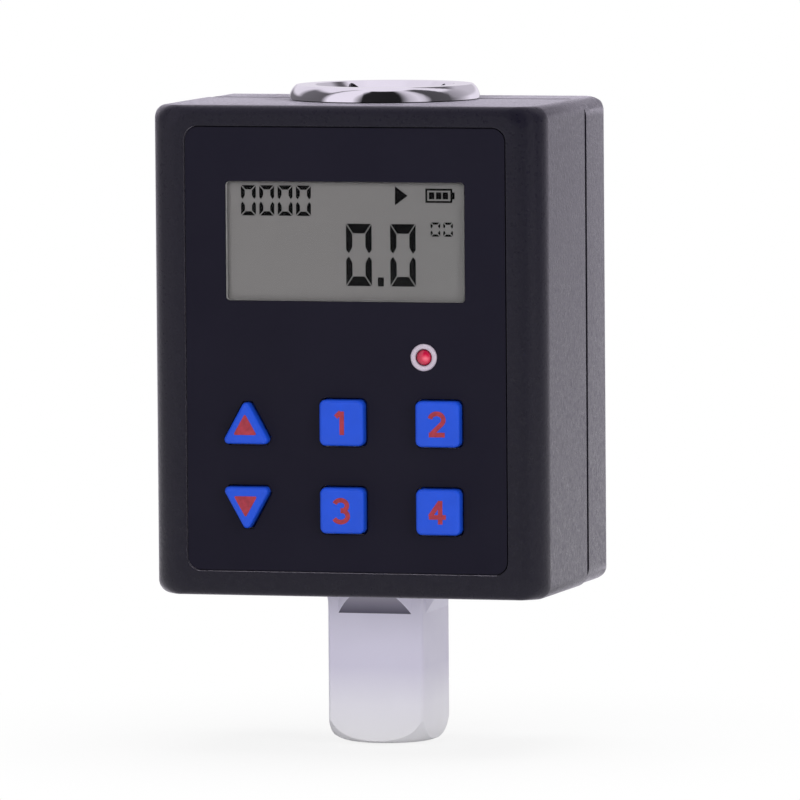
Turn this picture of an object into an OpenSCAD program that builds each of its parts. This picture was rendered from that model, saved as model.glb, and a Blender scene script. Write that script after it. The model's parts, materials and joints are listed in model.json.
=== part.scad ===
// Digital torque adapter: a steel shaft with a wrench socket on top and a drive square below,
// carried in a two-shell case with a display, six keys and two battery cells.
// The origin is the centre of the drive square's end. +Z runs up the shaft, the panel faces -Y.

/* [Case] */
// Width of the case
case_w = 78; // [77:1:92]
// Height of the case
case_h = 94; // [94:1:110]
// Distance from the shaft axis forward to the front face
front_reach = 28.5; // [28:0.5:34]
// Distance from the shaft axis back to the rear face
rear_reach = 19.5; // [19.5:0.5:25]
// Distance of the seam between the shells behind the shaft axis
seam_back = 3.5; // [2:0.5:4.5]
// Wall thickness of both shells
wall = 2.2; // [2:0.1:2.6]
// Corner rounding of the front shell seen from the front
corner_r = 2.6; // [1.6:0.2:4]
// Corner rounding of the rear shell seen from the front
rear_corner_r = 3.6; // [2:0.2:5]
// Rounding of the two upright front edges
front_edge_r = 5.5; // [3:0.5:5.5]
// Rounding of the front edges along the top and bottom
rim_edge_r = 1.8; // [1:0.2:2.6]
// Rounding of the rear edges
rear_edge_r = 2.4; // [1:0.2:2.6]
// Thickness of the rubber gasket between the shells
gasket_t = 0.5; // [0.3:0.1:1]
// Width of the step that each shell's rim leaves beside the gasket
seam_step = 0.4; // [0.2:0.1:0.8]
// Depth of the groove that runs round the case along the seam
seam_depth = 0.6; // [0.3:0.1:0.9]

/* [Drive shaft] */
// Side of the drive square
square_af = 19.05; // [18.4:0.05:19.6]
// Length of the drive square up to where its flats run out
square_len = 25.3; // [23:0.1:30]
// Rounding of the drive square's long edges
square_edge_r = 0.7; // [0.5:0.1:1.5]
// Rounding turned on the end of the drive square
square_end_r = 6.5; // [3:0.5:7]
// Diameter of the round neck above the square
neck_d = 24; // [23:0.5:25]
// Length of the neck between the square and the case
neck_len = 4.7; // [4:0.1:8]
// Diameter of the collar that the case holds above its bottom wall
lower_collar_d = 28; // [27:0.5:30]
// Height of that collar
lower_collar_h = 6; // [5:0.5:7]
// Distance across the two flats on that collar
collar_flats = 25; // [24.5:0.5:26]
// Diameter of the thin middle stretch that carries the gauges
sense_d = 18; // [16:0.5:18.5]
// Diameter of the upper collar round the wrench socket
collar_d = 33; // [31:0.5:33.5]
// Side of the square wrench socket
socket_af = 19.25; // [18.8:0.05:19.6]
// Depth of the wrench socket
socket_depth = 25; // [20:0.5:26]
// Diameter of the flange on top of the case
flange_d = 36.8; // [36:0.2:37.6]
// Thickness of the flange
flange_h = 2.7; // [1.8:0.1:2.7]
// Radius of the arc that crowns the flange's side from its foot up
flange_side_r = 3.4; // [2.7:0.1:4]

/* [Detent] */
// Diameter of the ball that holds a socket on the square
ball_d = 6; // [5:0.5:6.5]
// Height by which the ball stands out of the flat
ball_proud = 1.2; // [0.8:0.1:1.4]
// Height of the ball above the end of the square
ball_up = 11; // [9:0.5:13]

/* [Front panel] */
// Width of the case's rim beside the panel
rim_side = 7.3; // [6.8:0.1:8]
// Width of the case's rim above the panel
rim_top = 4.15; // [3.5:0.05:5]
// Width of the case's rim below the panel
rim_bottom = 4.95; // [3.5:0.05:6]
// Corner rounding of the panel
panel_r = 2.5; // [1:0.5:4]
// Thickness of the panel
panel_t = 1; // [0.8:0.1:1.4]
// Depth of the panel's face below the rim of the case
panel_sink = 0.2; // [0.1:0.1:0.5]
// Gap round the panel in its recess
panel_gap = 0.25; // [0.1:0.05:0.4]

/* [Display] */
// Width of the display that shows
view_w = 47.5; // [42:0.5:49]
// Height of the display that shows
view_h = 22.9; // [18:0.1:25]
// Distance of the display's centre below the top of the case
view_down = 25.9; // [25:0.1:28]
// Width of the display glass
lcd_w = 53; // [51:0.5:56]
// Height of the display glass
lcd_h = 30; // [28:0.5:31]
// Thickness of the display glass
lcd_t = 2; // [1.5:0.1:2.5]

/* [Keys] */
// Width and height of a square key
key_w = 8.8; // [8:0.1:9.5]
// Width of a triangular key
arrow_w = 10; // [9:0.1:10.5]
// Height of a triangular key
arrow_h = 8.6; // [8:0.1:9.5]
// Distance between the key columns as a share of the panel's width
column_share = 0.3; // [0.24:0.01:0.31]
// Distance of the middle key column to the right of the case's middle
keys_side = -0.5; // [-1:0.1:1]
// Height by which a key stands out of the panel
key_proud = 2; // [1.4:0.1:2.6]
// Travel of a key
key_travel = 0.8; // [0.4:0.1:0.9]

/* [Lamp] */
// Diameter of the status lamp
lamp_d = 3; // [2:0.1:3.4]
// Outer diameter of the lamp's ring
lamp_ring_d = 5.2; // [4.8:0.1:6]
// Distance of the lamp to the right of the case's middle
lamp_x = 15.5; // [12:0.5:18]

/* [Circuit board] */
// Thickness of the circuit board
board_t = 1.6; // [1:0.2:1.6]
// Distance from the inner face of the front wall to the board
board_stand = 5.5; // [5:0.1:6]

/* [Battery] */
// Diameter of a battery cell
cell_d = 10.5; // [10:0.1:10.5]
// Length of a battery cell with its contact nub
cell_l = 44.5; // [40:0.5:45]
// Length left for a contact spring
cell_spring_l = 5.7; // [4:0.1:6]
// Thickness of the battery door
door_t = 1.3; // [1:0.1:1.4]

/* [Screws] */
// Shank diameter of the case screws
case_screw_d = 2.9; // [2.5:0.1:3]
// Head diameter of the case screws
case_screw_head_d = 5.4; // [5:0.1:5.6]
// Length of the case screws' shank
case_screw_l = 23; // [20:0.5:24]

/* [Hidden] */
$fn = 64;

// Values shared by many pieces
overrun = 1;            // how far a cut runs past what it cuts
fit = 0.1;              // gap round a piece that is set into its seat
slack = 0.3;            // gap between two pieces that move apart
rough_fit = 0.3;        // gap round pieces that pass through a wall
coil_steps = 12;        // rings in each turn of a coiled spring
wire_sides = 6;
lead_steps = 12;        // rings along an insulated lead
lead_sides = 8;
lead_stub = 0.5;        // straight length at each end of a lead
z_case = square_len + neck_len;
z_top = z_case + case_h;
z_mid = (z_case + z_top) / 2;
y_front = -front_reach;
y_panel = y_front + panel_sink;
front_wall = 1.6;       // wall left behind the panel
y_wall = y_panel + panel_t;
y_floor = y_wall + front_wall;
y_seam = seam_back;
y_rear_rim = y_seam + gasket_t;
y_rear = rear_reach;
z_view = z_top - view_down;
panel_w = case_w - 2 * rim_side;
panel_h = case_h - rim_top - rim_bottom;
panel_up = (rim_bottom - rim_top) / 2;

// Shaft
neck_r = neck_d / 2;
sense_r = sense_d / 2;
collar_r = collar_d / 2;
lower_collar_r = lower_collar_d / 2;
flange_r = flange_d / 2;
flange_gasket_t = 0.2;
runout_rise = 2.1;      // rise of the flats' run-out for each unit outwards
runout_out = 3;         // how far outwards the run-out is cut
square_flare = 1.2;     // height of the cone that ends the square's long edges on the neck
z_square = z_case - slack; // where that cone would end inside the neck
z_lower_0 = z_case + wall;
z_lower_1 = z_lower_0 + lower_collar_h;
z_flange_0 = z_top + flange_gasket_t;
z_flange_1 = z_flange_0 + flange_h;
relief_h = 2;           // height of the round relief below the socket's flats
relief_d = 23;
socket_floor = 2;       // steel left below the relief
z_socket_0 = z_flange_1 - socket_depth;
z_upper_0 = z_socket_0 - relief_h - socket_floor;
sense_blend = 2;        // height and reach of the cones at both ends of the gauge stretch
socket_corner_r = 0.8;
socket_lead = 1.2;      // depth of the cone at the socket's mouth
mouth_r = socket_af / sqrt(2);
dimple_r = 3.4;
dimple_depth = 1.1;
dimple_down = 11;       // depth of the dimples below the mouth

// Detent
ball_r = ball_d / 2;
ball_y = square_af / 2 + ball_proud - ball_r;
ball_fit = 0.06;
ball_lip = 0.3;         // thickness of the lip that keeps the ball in
lip_gap = 0.1;
ball_lip_r = sqrt(ball_r * ball_r - pow(square_af / 2 - ball_lip - ball_y, 2)) + lip_gap;
detent_room = 3.4;      // room for the spring behind the pressed ball
detent_y0 = ball_y - ball_proud - ball_r - detent_room;
detent_wire_r = 0.3;
detent_turns = 3;
detent_coil_r = ball_r - 2 * detent_wire_r;
detent_coil_l = detent_room - slack - 2 * detent_wire_r;

// Saddle that both shells close round the lower collar
web_t = 2;
web_gap = 0.2;
z_web = z_lower_1 + web_gap;
z_saddle = z_web + web_t;
saddle_side = 3;        // wall of the saddle beside and in front of the collar
saddle_w = lower_collar_d + 2 * saddle_side;
sense_gap = 2.3;        // gap between the web and the gauge stretch

// Seals
seal_r = 0.72;          // half the thickness of the neck's sealing ring
seal_pocket = 1.55;     // depth and reach of the ring's pocket
gasket_draw = 0.1;      // how far the gasket lies inside the groove's floor
flange_gasket_draw = 0.6;

// Case screws and their bosses
boss_r = 3.6;
rear_boss_r = 4.4;
boss_bite_x = 0.2;      // how far a boss runs into the side wall
boss_bite_z = 0.1;      // how far a boss runs into the top or bottom wall
boss_in_x = wall + boss_r - boss_bite_x;
boss_in_z = wall + boss_r - boss_bite_z;
screw_sink = 3.6;       // depth of the pocket that hides a screw head
case_screw_head_h = 2;
pilot_extra = 1;        // length of the pilot hole past the screw's end
thread_bite = 0.15;     // how far a thread cuts into its pilot hole
boss_x = case_w / 2 - boss_in_x;
boss_z = [z_case + boss_in_z, z_top - boss_in_z];
y_head = y_rear - screw_sink;
recess_shares = [0.6, 0.3, 0.14]; // length, depth and width of a cross recess by the head's diameter

// Circuit board
y_board = y_floor + board_stand;
y_board_rear = y_board + board_t;
board_gap = 0.4;        // gap between the board and the case
board_w = 2 * (boss_x - boss_r - board_gap);
board_h = case_h - 2 * wall - 2 * board_gap;
post_r = 2.3;
post_in_x = 3;          // distance of the board screws from the board's sides
post_in_z = 4.4;        // distance of the board screws from the board's ends
board_screw_r = 0.95;
board_screw_l = 5;
board_screw_head_r = 1.8;
board_screw_head_h = 1.3;
post_x = board_w / 2 - post_in_x;
post_z = [z_mid - board_h / 2 + post_in_z, z_mid + board_h / 2 - post_in_z];

// Display
window_lip_t = 0.6;
lens_gap = 0.1;
y_lcd = y_wall + window_lip_t;
y_lcd_rear = y_lcd + lcd_t;
view_r = 0.8;
strip_t = 2;
strip_in = 1.6;         // distance of the contact strips from the glass's edges
light_gap = 0.3;

// Keys
key_r = 0.9;
key_bevel = 0.35;
key_hole_gap = 0.3;
key_flange_t = 0.8;
key_flange_lip = 1;
arrow_cut = 1.3;        // length cut off each tip of a triangular key
y_key = y_panel - key_proud;
y_key_flange = y_floor + slack;
switch_side = 6;
switch_body_h = 2.3;
plunger_r = 1.7;
key_rest_gap = 0.5;     // gap between a pressed key and its switch
switch_h = board_stand - slack - key_flange_t - key_travel - key_rest_gap;
key_places = [[-1, 1], [-1, 0], [0, 1], [1, 1], [0, 0], [1, 0]]; // column and row of each key

// Key rows and lamp, spread over the room between the lower board screws and the display
key_side = key_w + 2 * key_flange_lip;
z_keypad = post_z[0] + post_r + slack;
keypad_spare = z_view - lcd_h / 2 - z_keypad - 2 * key_side - lamp_ring_d;
keypad_shares = [0.108, 0.467, 0.743]; // spare height below the lower row, upper row and lamp
row_z = [for (i = [0, 1]) z_keypad + keypad_shares[i] * keypad_spare + i * key_side + key_side / 2];
z_lamp = z_keypad + keypad_shares[2] * keypad_spare + 2 * key_side + lamp_ring_d / 2;

// Lamp
lamp_r = lamp_d / 2;
lamp_base_r = 2.1;      // radius of the rim at the lamp's foot
lamp_base_h = 1;
lamp_body_h = 4.3;
lamp_lead = 0.5;
lamp_lead_gap = 1.27;   // distance of each lead from the lamp's axis
lamp_ring_t = 0.5;
lamp_sleeve_t = 0.5;

// Battery compartment in the rear shell
cell_gap = 0.3;
cell_r = cell_d / 2;
bay_in_x = 5.1;         // distance of the compartment from the side of the case
bay_w = 2 * cell_d + 3 * cell_gap;
bay_x1 = case_w / 2 - bay_in_x;
bay_x0 = bay_x1 - bay_w;
bay_mid = (bay_x0 + bay_x1) / 2;
bay_wall = 1.2;
bay_clear = 3;          // distance of the compartment above the saddle's collar pocket
contact_t = 0.4;
z_bay_0 = z_lower_1 + bay_clear;
bay_l = cell_l + 2 * contact_t + cell_spring_l;
z_bay_1 = z_bay_0 + bay_l;
y_door = y_rear - door_t;
y_ledge = y_door - slack;
ledge_t = 0.6;
ledge_w = 1.1;
y_bay_1 = y_ledge - ledge_t;
y_cells = y_bay_1 - cell_gap / 2 - cell_r;
y_bay_0 = y_cells - cell_r - cell_gap;
cell_x = [bay_x0 + cell_gap + cell_r, bay_x1 - cell_gap - cell_r];
nub_r = 1.9;
nub_h = 1;
cell_spring_r = 3.6;
cell_spring_tip_r = 2.4;
cell_spring_turns = 4;
cell_wire_r = 0.4;
contact_side = 8.6;
tail_w = 2;
tail_out = 2;           // how far a contact's tail stands out of the compartment

// Battery door
door_w = bay_w + 2 * ledge_w;
door_h = bay_l + 2 * ledge_w;
tab_w = 8;
tab_out = 6;            // how far the screw tabs stand past the door's ends
tab_screw_in = 3.2;     // distance of a screw from its tab's end
pad_r = 3;
pad_h = 1.3;
door_r = 1.2;
door_screw_r = 1.2;
door_screw_head_r = 2.1;
door_screw_head_h = 1.2;
door_screw_sink = 1.4;
y_door_head = y_rear - door_screw_sink;
door_screw_l = 6;
door_screw_fit = 0.08;
door_boss_r = 4.2;
z_bay_mid = (z_bay_0 + z_bay_1) / 2;
door_screw_z = [for (s = [-1, 1]) z_bay_mid + s * (door_h / 2 + tab_out - tab_screw_in)];
grip_rib_w = 0.8;
grip_rib_gap = 1.9;
grip_ribs = 5;
grip_rib_l = 14;
grip_rib_depth = 0.35;

// Gauges and wires
gauge_t = 0.15;
gauge_w = 6.5;
gauge_h = 9;
lead_r = 0.5;
lead_gap = 1.4;
power_lead_r = 0.7;
z_gauge = (z_lower_1 + z_upper_0) / 2;

// Parts on the rear of the board
chip_side = 10;
chip_t = 1.4;
adc_w = 6.5;
adc_h = 5;
plug_w = 7.5;
plug_h = 3.2;
plug_t = 2.6;
power_plug_w = 5;
capacitor_w = 4;
capacitor_h = 2.4;
capacitor_t = 1.8;
quartz_w = 7;
quartz_r = 1.4;
chips_x_share = -0.2;
chips_z_share = 0.62;
radio_w = 13;
radio_h = 19;
radio_t = 0.8;
shield_w = 11;
shield_h = 12;
shield_t = 2;
radio_x_share = 0.29;
radio_z_share = 0.56;
antenna_w = 0.8;
antenna_l = 3.2;
antenna_t = 0.2;
antenna_steps = 4;
buzzer_r = 4.5;
buzzer_h = 3.8;
buzzer_hole_r = 0.8;
buzzer_x_share = -0.32;
buzzer_z_share = 0.3;

// Plain shapes
module round_rect(w, h, r) {
    square([w - 2 * r, h], center = true);
    square([w, h - 2 * r], center = true);
    for (x = [-1, 1], z = [-1, 1]) translate([x * (w / 2 - r), z * (h / 2 - r)]) circle(r);
}

// A flat shape drawn in X and Z, given depth from y0 back to y1
module slab(y0, y1) translate([0, y1, 0]) rotate([90, 0, 0]) linear_extrude(y1 - y0) children();

// The same, centred on the case
module case_slab(y0, y1) slab(y0, y1) translate([0, z_mid]) children();

// Outline of the room inside the walls
module inner_outline() round_rect(case_w - 2 * wall, case_h - 2 * wall, corner_r - wall / 2);

// A round bar or hole along Y
module bar_y(x, z, y0, y1, r) translate([x, y1, z]) rotate([90, 0, 0]) cylinder(h = y1 - y0, r = r);

// The same at the case screws, the board screws and the door screws
module boss_bars(y0, y1, r) for (s = [-1, 1], z = boss_z) bar_y(s * boss_x, z, y0, y1, r);
module post_bars(y0, y1, r) for (s = [-1, 1], z = post_z) bar_y(s * post_x, z, y0, y1, r);
module door_bars(y0, y1, r) for (z = door_screw_z) bar_y(bay_mid, z, y0, y1, r);

// A flat shape drawn in X and Y, given height from z0 up to z1
module raised(z0, z1) translate([0, 0, z0]) linear_extrude(z1 - z0) children();

module both_sides() {
    children();
    mirror([1, 0, 0]) children();
}

module both_ends() {
    children();
    translate([0, 0, 2 * z_mid]) mirror([0, 0, 1]) children();
}

// What a rounded edge takes off a square corner at the origin
module edge_waste(r) difference() {
    translate([-overrun, -overrun]) square(r + overrun);
    translate([r, r]) circle(r);
}

module upright_edge_waste(r) both_sides() translate([-case_w / 2, 0, z_case - overrun])
    linear_extrude(case_h + 2 * overrun) edge_waste(r);

module level_edge_waste(r) both_ends() translate([-case_w / 2 - overrun, 0, z_case])
    rotate([90, 0, 90]) linear_extrude(case_w + 2 * overrun) edge_waste(r);

// A triangle with its tips cut off: width w, height h, cut c, centred on its height
function arrow(w, h, c) = let (k = c * w / 2 / h)
    [[-w / 2 + c, -h / 2], [w / 2 - c, -h / 2], [w / 2 - c / 2, -h / 2 + c],
     [k, h / 2 - c / 2], [-k, h / 2 - c / 2], [-w / 2 + c / 2, -h / 2 + c]];

// Rings of a tube along points p, with radius r and n sides; up is never along the path
function unit(v) = v / norm(v);
function heading(p, i) = unit(p[min(i + 1, len(p) - 1)] - p[max(i - 1, 0)]);
function tube_ring(p, i, r, n, up) = let (t = heading(p, i), u = unit(cross(t, up)), v = cross(u, t))
    [for (k = [0 : n - 1]) p[i] + r * (cos(360 * k / n) * u + sin(360 * k / n) * v)];
function tube_points(p, r, n, up) = [for (i = [0 : len(p) - 1]) each tube_ring(p, i, r, n, up)];
function tube_faces(m, n) = concat(
    [[for (k = [0 : n - 1]) k]],
    [for (i = [0 : m - 2], k = [0 : n - 1])
        [i * n + k, (i + 1) * n + k, (i + 1) * n + (k + 1) % n, i * n + (k + 1) % n]],
    [[for (k = [n - 1 : -1 : 0]) (m - 1) * n + k]]);
module tube(p, r, n, up) polyhedron(tube_points(p, r, n, up), tube_faces(len(p), n));

// A smooth path from a to b, with a short straight stub along Y at each end
function eased(a, b, steps) = let (stub = [0, sign(b[1] - a[1]) * lead_stub, 0], c = a + stub, d = b - stub)
    concat([a], [for (i = [0 : steps]) let (s = i / steps, e = s * s * (3 - 2 * s))
        [c[0] + (d[0] - c[0]) * e, c[1] + (d[1] - c[1]) * s, c[2] + (d[2] - c[2]) * e]], [b]);

// Centre line of a coil along Z whose radius goes from r0 to r1
function coil(r0, r1, h, turns, steps) = [for (i = [0 : turns * steps])
    let (s = i / (turns * steps), r = r0 + (r1 - r0) * s, a = 360 * i / steps)
    [r * cos(a), r * sin(a), h * s]];

// Outline of the lower collar, with its flats at the sides, grown by g
module collar_outline(g) intersection() {
    circle(lower_collar_r + g);
    square([collar_flats + 2 * g, 2 * lower_collar_r + 2 * overrun], center = true);
}

// A round opening that runs straight back to the seam, so that the shaft goes in from behind
module slot_to_seam(r) {
    circle(r);
    translate([-r, 0]) square([2 * r, y_seam + overrun]);
}

module shaft_body() rotate_extrude() {
    polygon([[0, square_len], [neck_r, square_len], [neck_r, z_lower_0], [lower_collar_r, z_lower_0],
        [lower_collar_r, z_lower_1], [sense_r + sense_blend, z_lower_1],
        [sense_r, z_lower_1 + sense_blend], [sense_r, z_upper_0 - sense_blend],
        [sense_r + sense_blend, z_upper_0], [collar_r, z_upper_0], [collar_r, z_flange_1],
        [0, z_flange_1]]);
    translate([flange_r - flange_side_r, z_flange_0]) intersection() {
        circle(flange_side_r);
        square([flange_side_r, flange_h]);
    }
}

// Turned envelope of the square: a round end, and a cone that ends the long edges on the neck,
// just under the case
module square_envelope() rotate_extrude() {
    square_r = square_af / sqrt(2);
    polygon([[0, 0], [square_r - square_end_r, 0], [square_r - square_end_r, square_end_r],
        [square_r, square_end_r], [square_r, z_square - square_flare], [neck_r - overrun, z_square],
        [0, z_square]]);
    intersection() {
        translate([square_r - square_end_r, square_end_r]) circle(square_end_r);
        square([square_r, square_end_r]);
    }
}

module runout_waste() for (a = [0 : 90 : 270]) rotate([90, 0, a]) translate([0, 0, -neck_r - overrun])
    linear_extrude(2 * (neck_r + overrun)) polygon([[square_af / 2, square_len],
        [square_af / 2 + runout_out, square_len + runout_rise * runout_out],
        [neck_r + overrun, square_len + runout_rise * runout_out], [neck_r + overrun, square_len]]);

module torque_shaft() color("gainsboro") difference() {
    union() {
        difference() {
            shaft_body();
            runout_waste();
        }
        intersection() {
            linear_extrude(z_square + overrun) round_rect(square_af, square_af, square_edge_r);
            square_envelope();
        }
    }
    for (s = [-1, 1]) translate([s * (lower_collar_r + collar_flats / 2) - lower_collar_r,
        -lower_collar_r, z_lower_0])
        cube([lower_collar_d, lower_collar_d, lower_collar_h]);
    translate([0, 0, z_socket_0]) linear_extrude(socket_depth + overrun)
        round_rect(socket_af, socket_af, socket_corner_r);
    translate([0, 0, z_socket_0 - relief_h]) cylinder(h = relief_h, d = relief_d);
    translate([0, 0, z_flange_1 - socket_lead])
        cylinder(h = 2 * socket_lead, r1 = mouth_r - socket_lead, r2 = mouth_r + socket_lead);
    for (a = [0 : 90 : 270]) rotate([0, 0, a])
        translate([socket_af / 2 + dimple_depth - dimple_r, 0, z_flange_1 - dimple_down]) sphere(dimple_r);
    bar_y(0, ball_up, detent_y0, square_af / 2 - ball_lip, ball_r + ball_fit);
    bar_y(0, ball_up, detent_y0, square_af / 2 + overrun, ball_lip_r);
}

module detent_ball() color("silver") translate([0, ball_y, ball_up]) sphere(ball_r);

module detent_spring() color("dimgray")
    translate([0, detent_y0 + detent_wire_r, ball_up]) rotate([-90, 0, 0])
        tube(coil(detent_coil_r, detent_coil_r, detent_coil_l, detent_turns, coil_steps),
            detent_wire_r, wire_sides, [0, 0, 1]);

module strain_gauges() color("goldenrod") for (a = [0 : 90 : 270]) rotate([0, 0, a]) difference() {
    intersection() {
        translate([0, 0, z_gauge - gauge_h / 2]) cylinder(h = gauge_h, r = sense_r + gauge_t);
        translate([0, -gauge_w / 2, z_gauge - gauge_h / 2]) cube([sense_d, gauge_w, gauge_h]);
    }
    translate([0, 0, z_gauge - gauge_h]) cylinder(h = 2 * gauge_h, r = sense_r);
}

module gauge_leads() color("firebrick") for (i = [-1.5 : 1 : 1.5])
    tube(eased([i * lead_gap, -sense_r - gauge_t, z_gauge + gauge_h / 4],
        [i * lead_gap, y_board_rear + plug_t, z_gauge - gauge_h], lead_steps),
        lead_r, lead_sides, [1, 0, 0]);

// Place of key number i in X and Z
function key_x(i) = keys_side + key_places[i][0] * column_share * panel_w;
function key_z(i) = row_z[key_places[i][1]];

module key_holes(g) for (i = [0 : len(key_places) - 1])
    translate([key_x(i), key_z(i)]) key_outline(i, g);

// Outline of key number i, grown by g
module key_outline(i, g) {
    if (i == 0) polygon(arrow(arrow_w + 3 * g, arrow_h + 2 * g, arrow_cut + g));
    if (i == 1) mirror([0, 1]) polygon(arrow(arrow_w + 3 * g, arrow_h + 2 * g, arrow_cut + g));
    if (i > 1) round_rect(key_w + 2 * g, key_w + 2 * g, key_r + g);
}

module front_shell() color([0.16, 0.16, 0.19]) difference() {
    union() {
        difference() {
            case_slab(y_front, y_seam) round_rect(case_w, case_h, corner_r);
            case_slab(y_floor, y_seam + overrun) inner_outline();
        }
        boss_bars(y_floor - front_wall / 2, y_seam, boss_r);
        post_bars(y_floor - front_wall / 2, y_board, post_r);
        translate([-saddle_w / 2, -saddle_w / 2, z_case + wall / 2])
            cube([saddle_w, saddle_w / 2 + y_seam, z_saddle - z_case - wall / 2]);
    }
    translate([0, y_front, 0]) upright_edge_waste(front_edge_r);
    translate([0, y_front, 0]) level_edge_waste(rim_edge_r);
    case_slab(y_seam - seam_step, y_seam + overrun) seam_waste(corner_r);
    case_slab(y_front - overrun, y_wall) translate([0, panel_up])
        round_rect(panel_w + 2 * panel_gap, panel_h + 2 * panel_gap, panel_r + panel_gap);
    slab(y_front, y_floor + overrun) translate([0, z_view])
        square([lcd_w + 2 * fit, lcd_h + 2 * fit], center = true);
    slab(y_front, y_floor + overrun) key_holes(key_hole_gap);
    bar_y(lamp_x, z_lamp, y_front, y_floor + overrun, lamp_r + lamp_sleeve_t + fit);
    raised(z_top - wall - overrun, z_top + overrun) slot_to_seam(collar_r + rough_fit);
    raised(z_case - overrun, z_case + wall + overrun) slot_to_seam(neck_r + rough_fit);
    raised(z_case - overrun, z_case + seal_pocket) slot_to_seam(neck_r + seal_pocket);
    raised(z_lower_0, z_web) {
        collar_outline(fit);
        translate([-collar_flats / 2 - fit, 0]) square([collar_flats + 2 * fit, y_seam + overrun]);
    }
    raised(z_lower_0, z_saddle + overrun) slot_to_seam(sense_r + sense_gap);
    boss_bars(y_head - case_screw_l - pilot_extra, y_seam + overrun, case_screw_d / 2 - thread_bite);
    post_bars(y_board_rear - board_screw_l - pilot_extra, y_board + overrun, board_screw_r - thread_bite);
}

// What the groove along the seam takes off an outline with corners of radius r
module seam_waste(r) difference() {
    square([case_w + 2 * overrun, case_h + 2 * overrun], center = true);
    round_rect(case_w - 2 * seam_depth, case_h - 2 * seam_depth, r - seam_depth);
}

// Outline of the battery door, grown by g
module door_outline(g) translate([bay_mid, z_bay_mid]) {
    round_rect(door_w + 2 * g, door_h + 2 * g, door_r);
    round_rect(tab_w + 2 * g, door_h + 2 * tab_out + 2 * g, door_r);
}

module rear_shell() color([0.2, 0.2, 0.23]) difference() {
    union() {
        difference() {
            case_slab(y_rear_rim, y_rear) round_rect(case_w, case_h, rear_corner_r);
            case_slab(y_rear_rim - overrun, y_rear - wall) inner_outline();
        }
        boss_bars(y_rear_rim, y_rear - wall / 2, rear_boss_r);
        translate([-saddle_w / 2, y_rear_rim, z_case + wall / 2])
            cube([saddle_w, y_rear - y_rear_rim - wall / 2, z_saddle - z_case - wall / 2]);
        translate([bay_x0 - bay_wall, y_bay_0 - bay_wall, z_bay_0 - bay_wall])
            cube([bay_w + 2 * bay_wall, y_rear - wall / 2 - y_bay_0 + bay_wall, bay_l + 2 * bay_wall]);
        door_bars(y_door - pad_h - slack - door_screw_l, y_rear - wall / 2, door_boss_r);
    }
    translate([0, y_rear, 0]) mirror([0, 1, 0]) upright_edge_waste(rear_edge_r);
    translate([0, y_rear, 0]) mirror([0, 1, 0]) level_edge_waste(rear_edge_r);
    case_slab(y_rear_rim - overrun, y_rear_rim + seam_step) seam_waste(rear_corner_r);
    boss_bars(y_rear_rim - overrun, y_rear, case_screw_d / 2 + fit);
    boss_bars(y_head, y_rear + overrun, case_screw_head_d / 2 + fit);
    raised(z_top - wall - overrun, z_top + overrun) circle(collar_r + rough_fit);
    raised(z_case - overrun, z_case + wall + overrun) circle(neck_r + rough_fit);
    raised(z_case - overrun, z_case + seal_pocket) circle(neck_r + seal_pocket);
    raised(z_lower_0, z_web) collar_outline(fit);
    raised(z_lower_0, z_saddle + overrun) circle(sense_r + sense_gap);
    translate([bay_x0, y_bay_0, z_bay_0]) cube([bay_w, y_rear - y_bay_0 + overrun, bay_l]);
    slab(y_ledge, y_rear + overrun) door_outline(slack);
    door_bars(y_door - pad_h - slack, y_rear + overrun, pad_r + slack);
    door_bars(y_door - pad_h - door_screw_l, y_rear, door_screw_r + door_screw_fit);
    for (x = cell_x) translate([x - tail_w / 2 - fit, y_bay_0 - bay_wall - overrun, z_bay_0])
        cube([tail_w + 2 * fit, bay_wall + 2 * overrun, contact_t + fit]);
}

module shell_gasket() color([0.05, 0.05, 0.05]) difference() {
    case_slab(y_seam, y_rear_rim) difference() {
        round_rect(case_w - 2 * (seam_depth + gasket_draw), case_h - 2 * (seam_depth + gasket_draw),
            corner_r - seam_depth - gasket_draw);
        inner_outline();
    }
    translate([0, 0, z_mid]) cylinder(h = case_h, r = collar_r + rough_fit);
    translate([0, 0, z_case - overrun]) cylinder(h = case_h / 2, r = neck_r + seal_pocket);
}

module flange_gasket() color([0.05, 0.05, 0.05]) translate([0, 0, z_top]) difference() {
    cylinder(h = flange_gasket_t, r = flange_r - flange_gasket_draw);
    translate([0, 0, -overrun]) cylinder(h = flange_gasket_t + 2 * overrun, r = collar_r + fit);
}

module neck_seal() color([0.08, 0.08, 0.08]) translate([0, 0, z_case + seal_pocket / 2])
    rotate_extrude() translate([neck_r + seal_pocket / 2, 0]) circle(seal_r);

module case_screws() color("dimgray") difference() {
    union() {
        boss_bars(y_head - case_screw_l, y_head, case_screw_d / 2 - thread_bite);
        boss_bars(y_head, y_head + case_screw_head_h, case_screw_head_d / 2);
    }
    for (s = [-1, 1], z = boss_z)
        cross_recess(s * boss_x, z, y_head + case_screw_head_h, case_screw_head_d);
}

// Cross-shaped recess for a screwdriver in a head of diameter d whose top is at y
module cross_recess(x, z, y, d) translate([x, y, z]) for (a = [0, 90]) rotate([0, a, 0])
    cube(d * recess_shares, center = true);

module front_panel() color([0.13, 0.13, 0.17]) difference() {
    case_slab(y_panel, y_wall) translate([0, panel_up]) round_rect(panel_w, panel_h, panel_r);
    slab(y_panel - overrun, y_wall + overrun) translate([0, z_view]) round_rect(view_w, view_h, view_r);
    slab(y_panel - overrun, y_wall + overrun) key_holes(key_hole_gap);
    bar_y(lamp_x, z_lamp, y_panel - overrun, y_wall + overrun, lamp_r + lamp_sleeve_t + fit);
}

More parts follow.
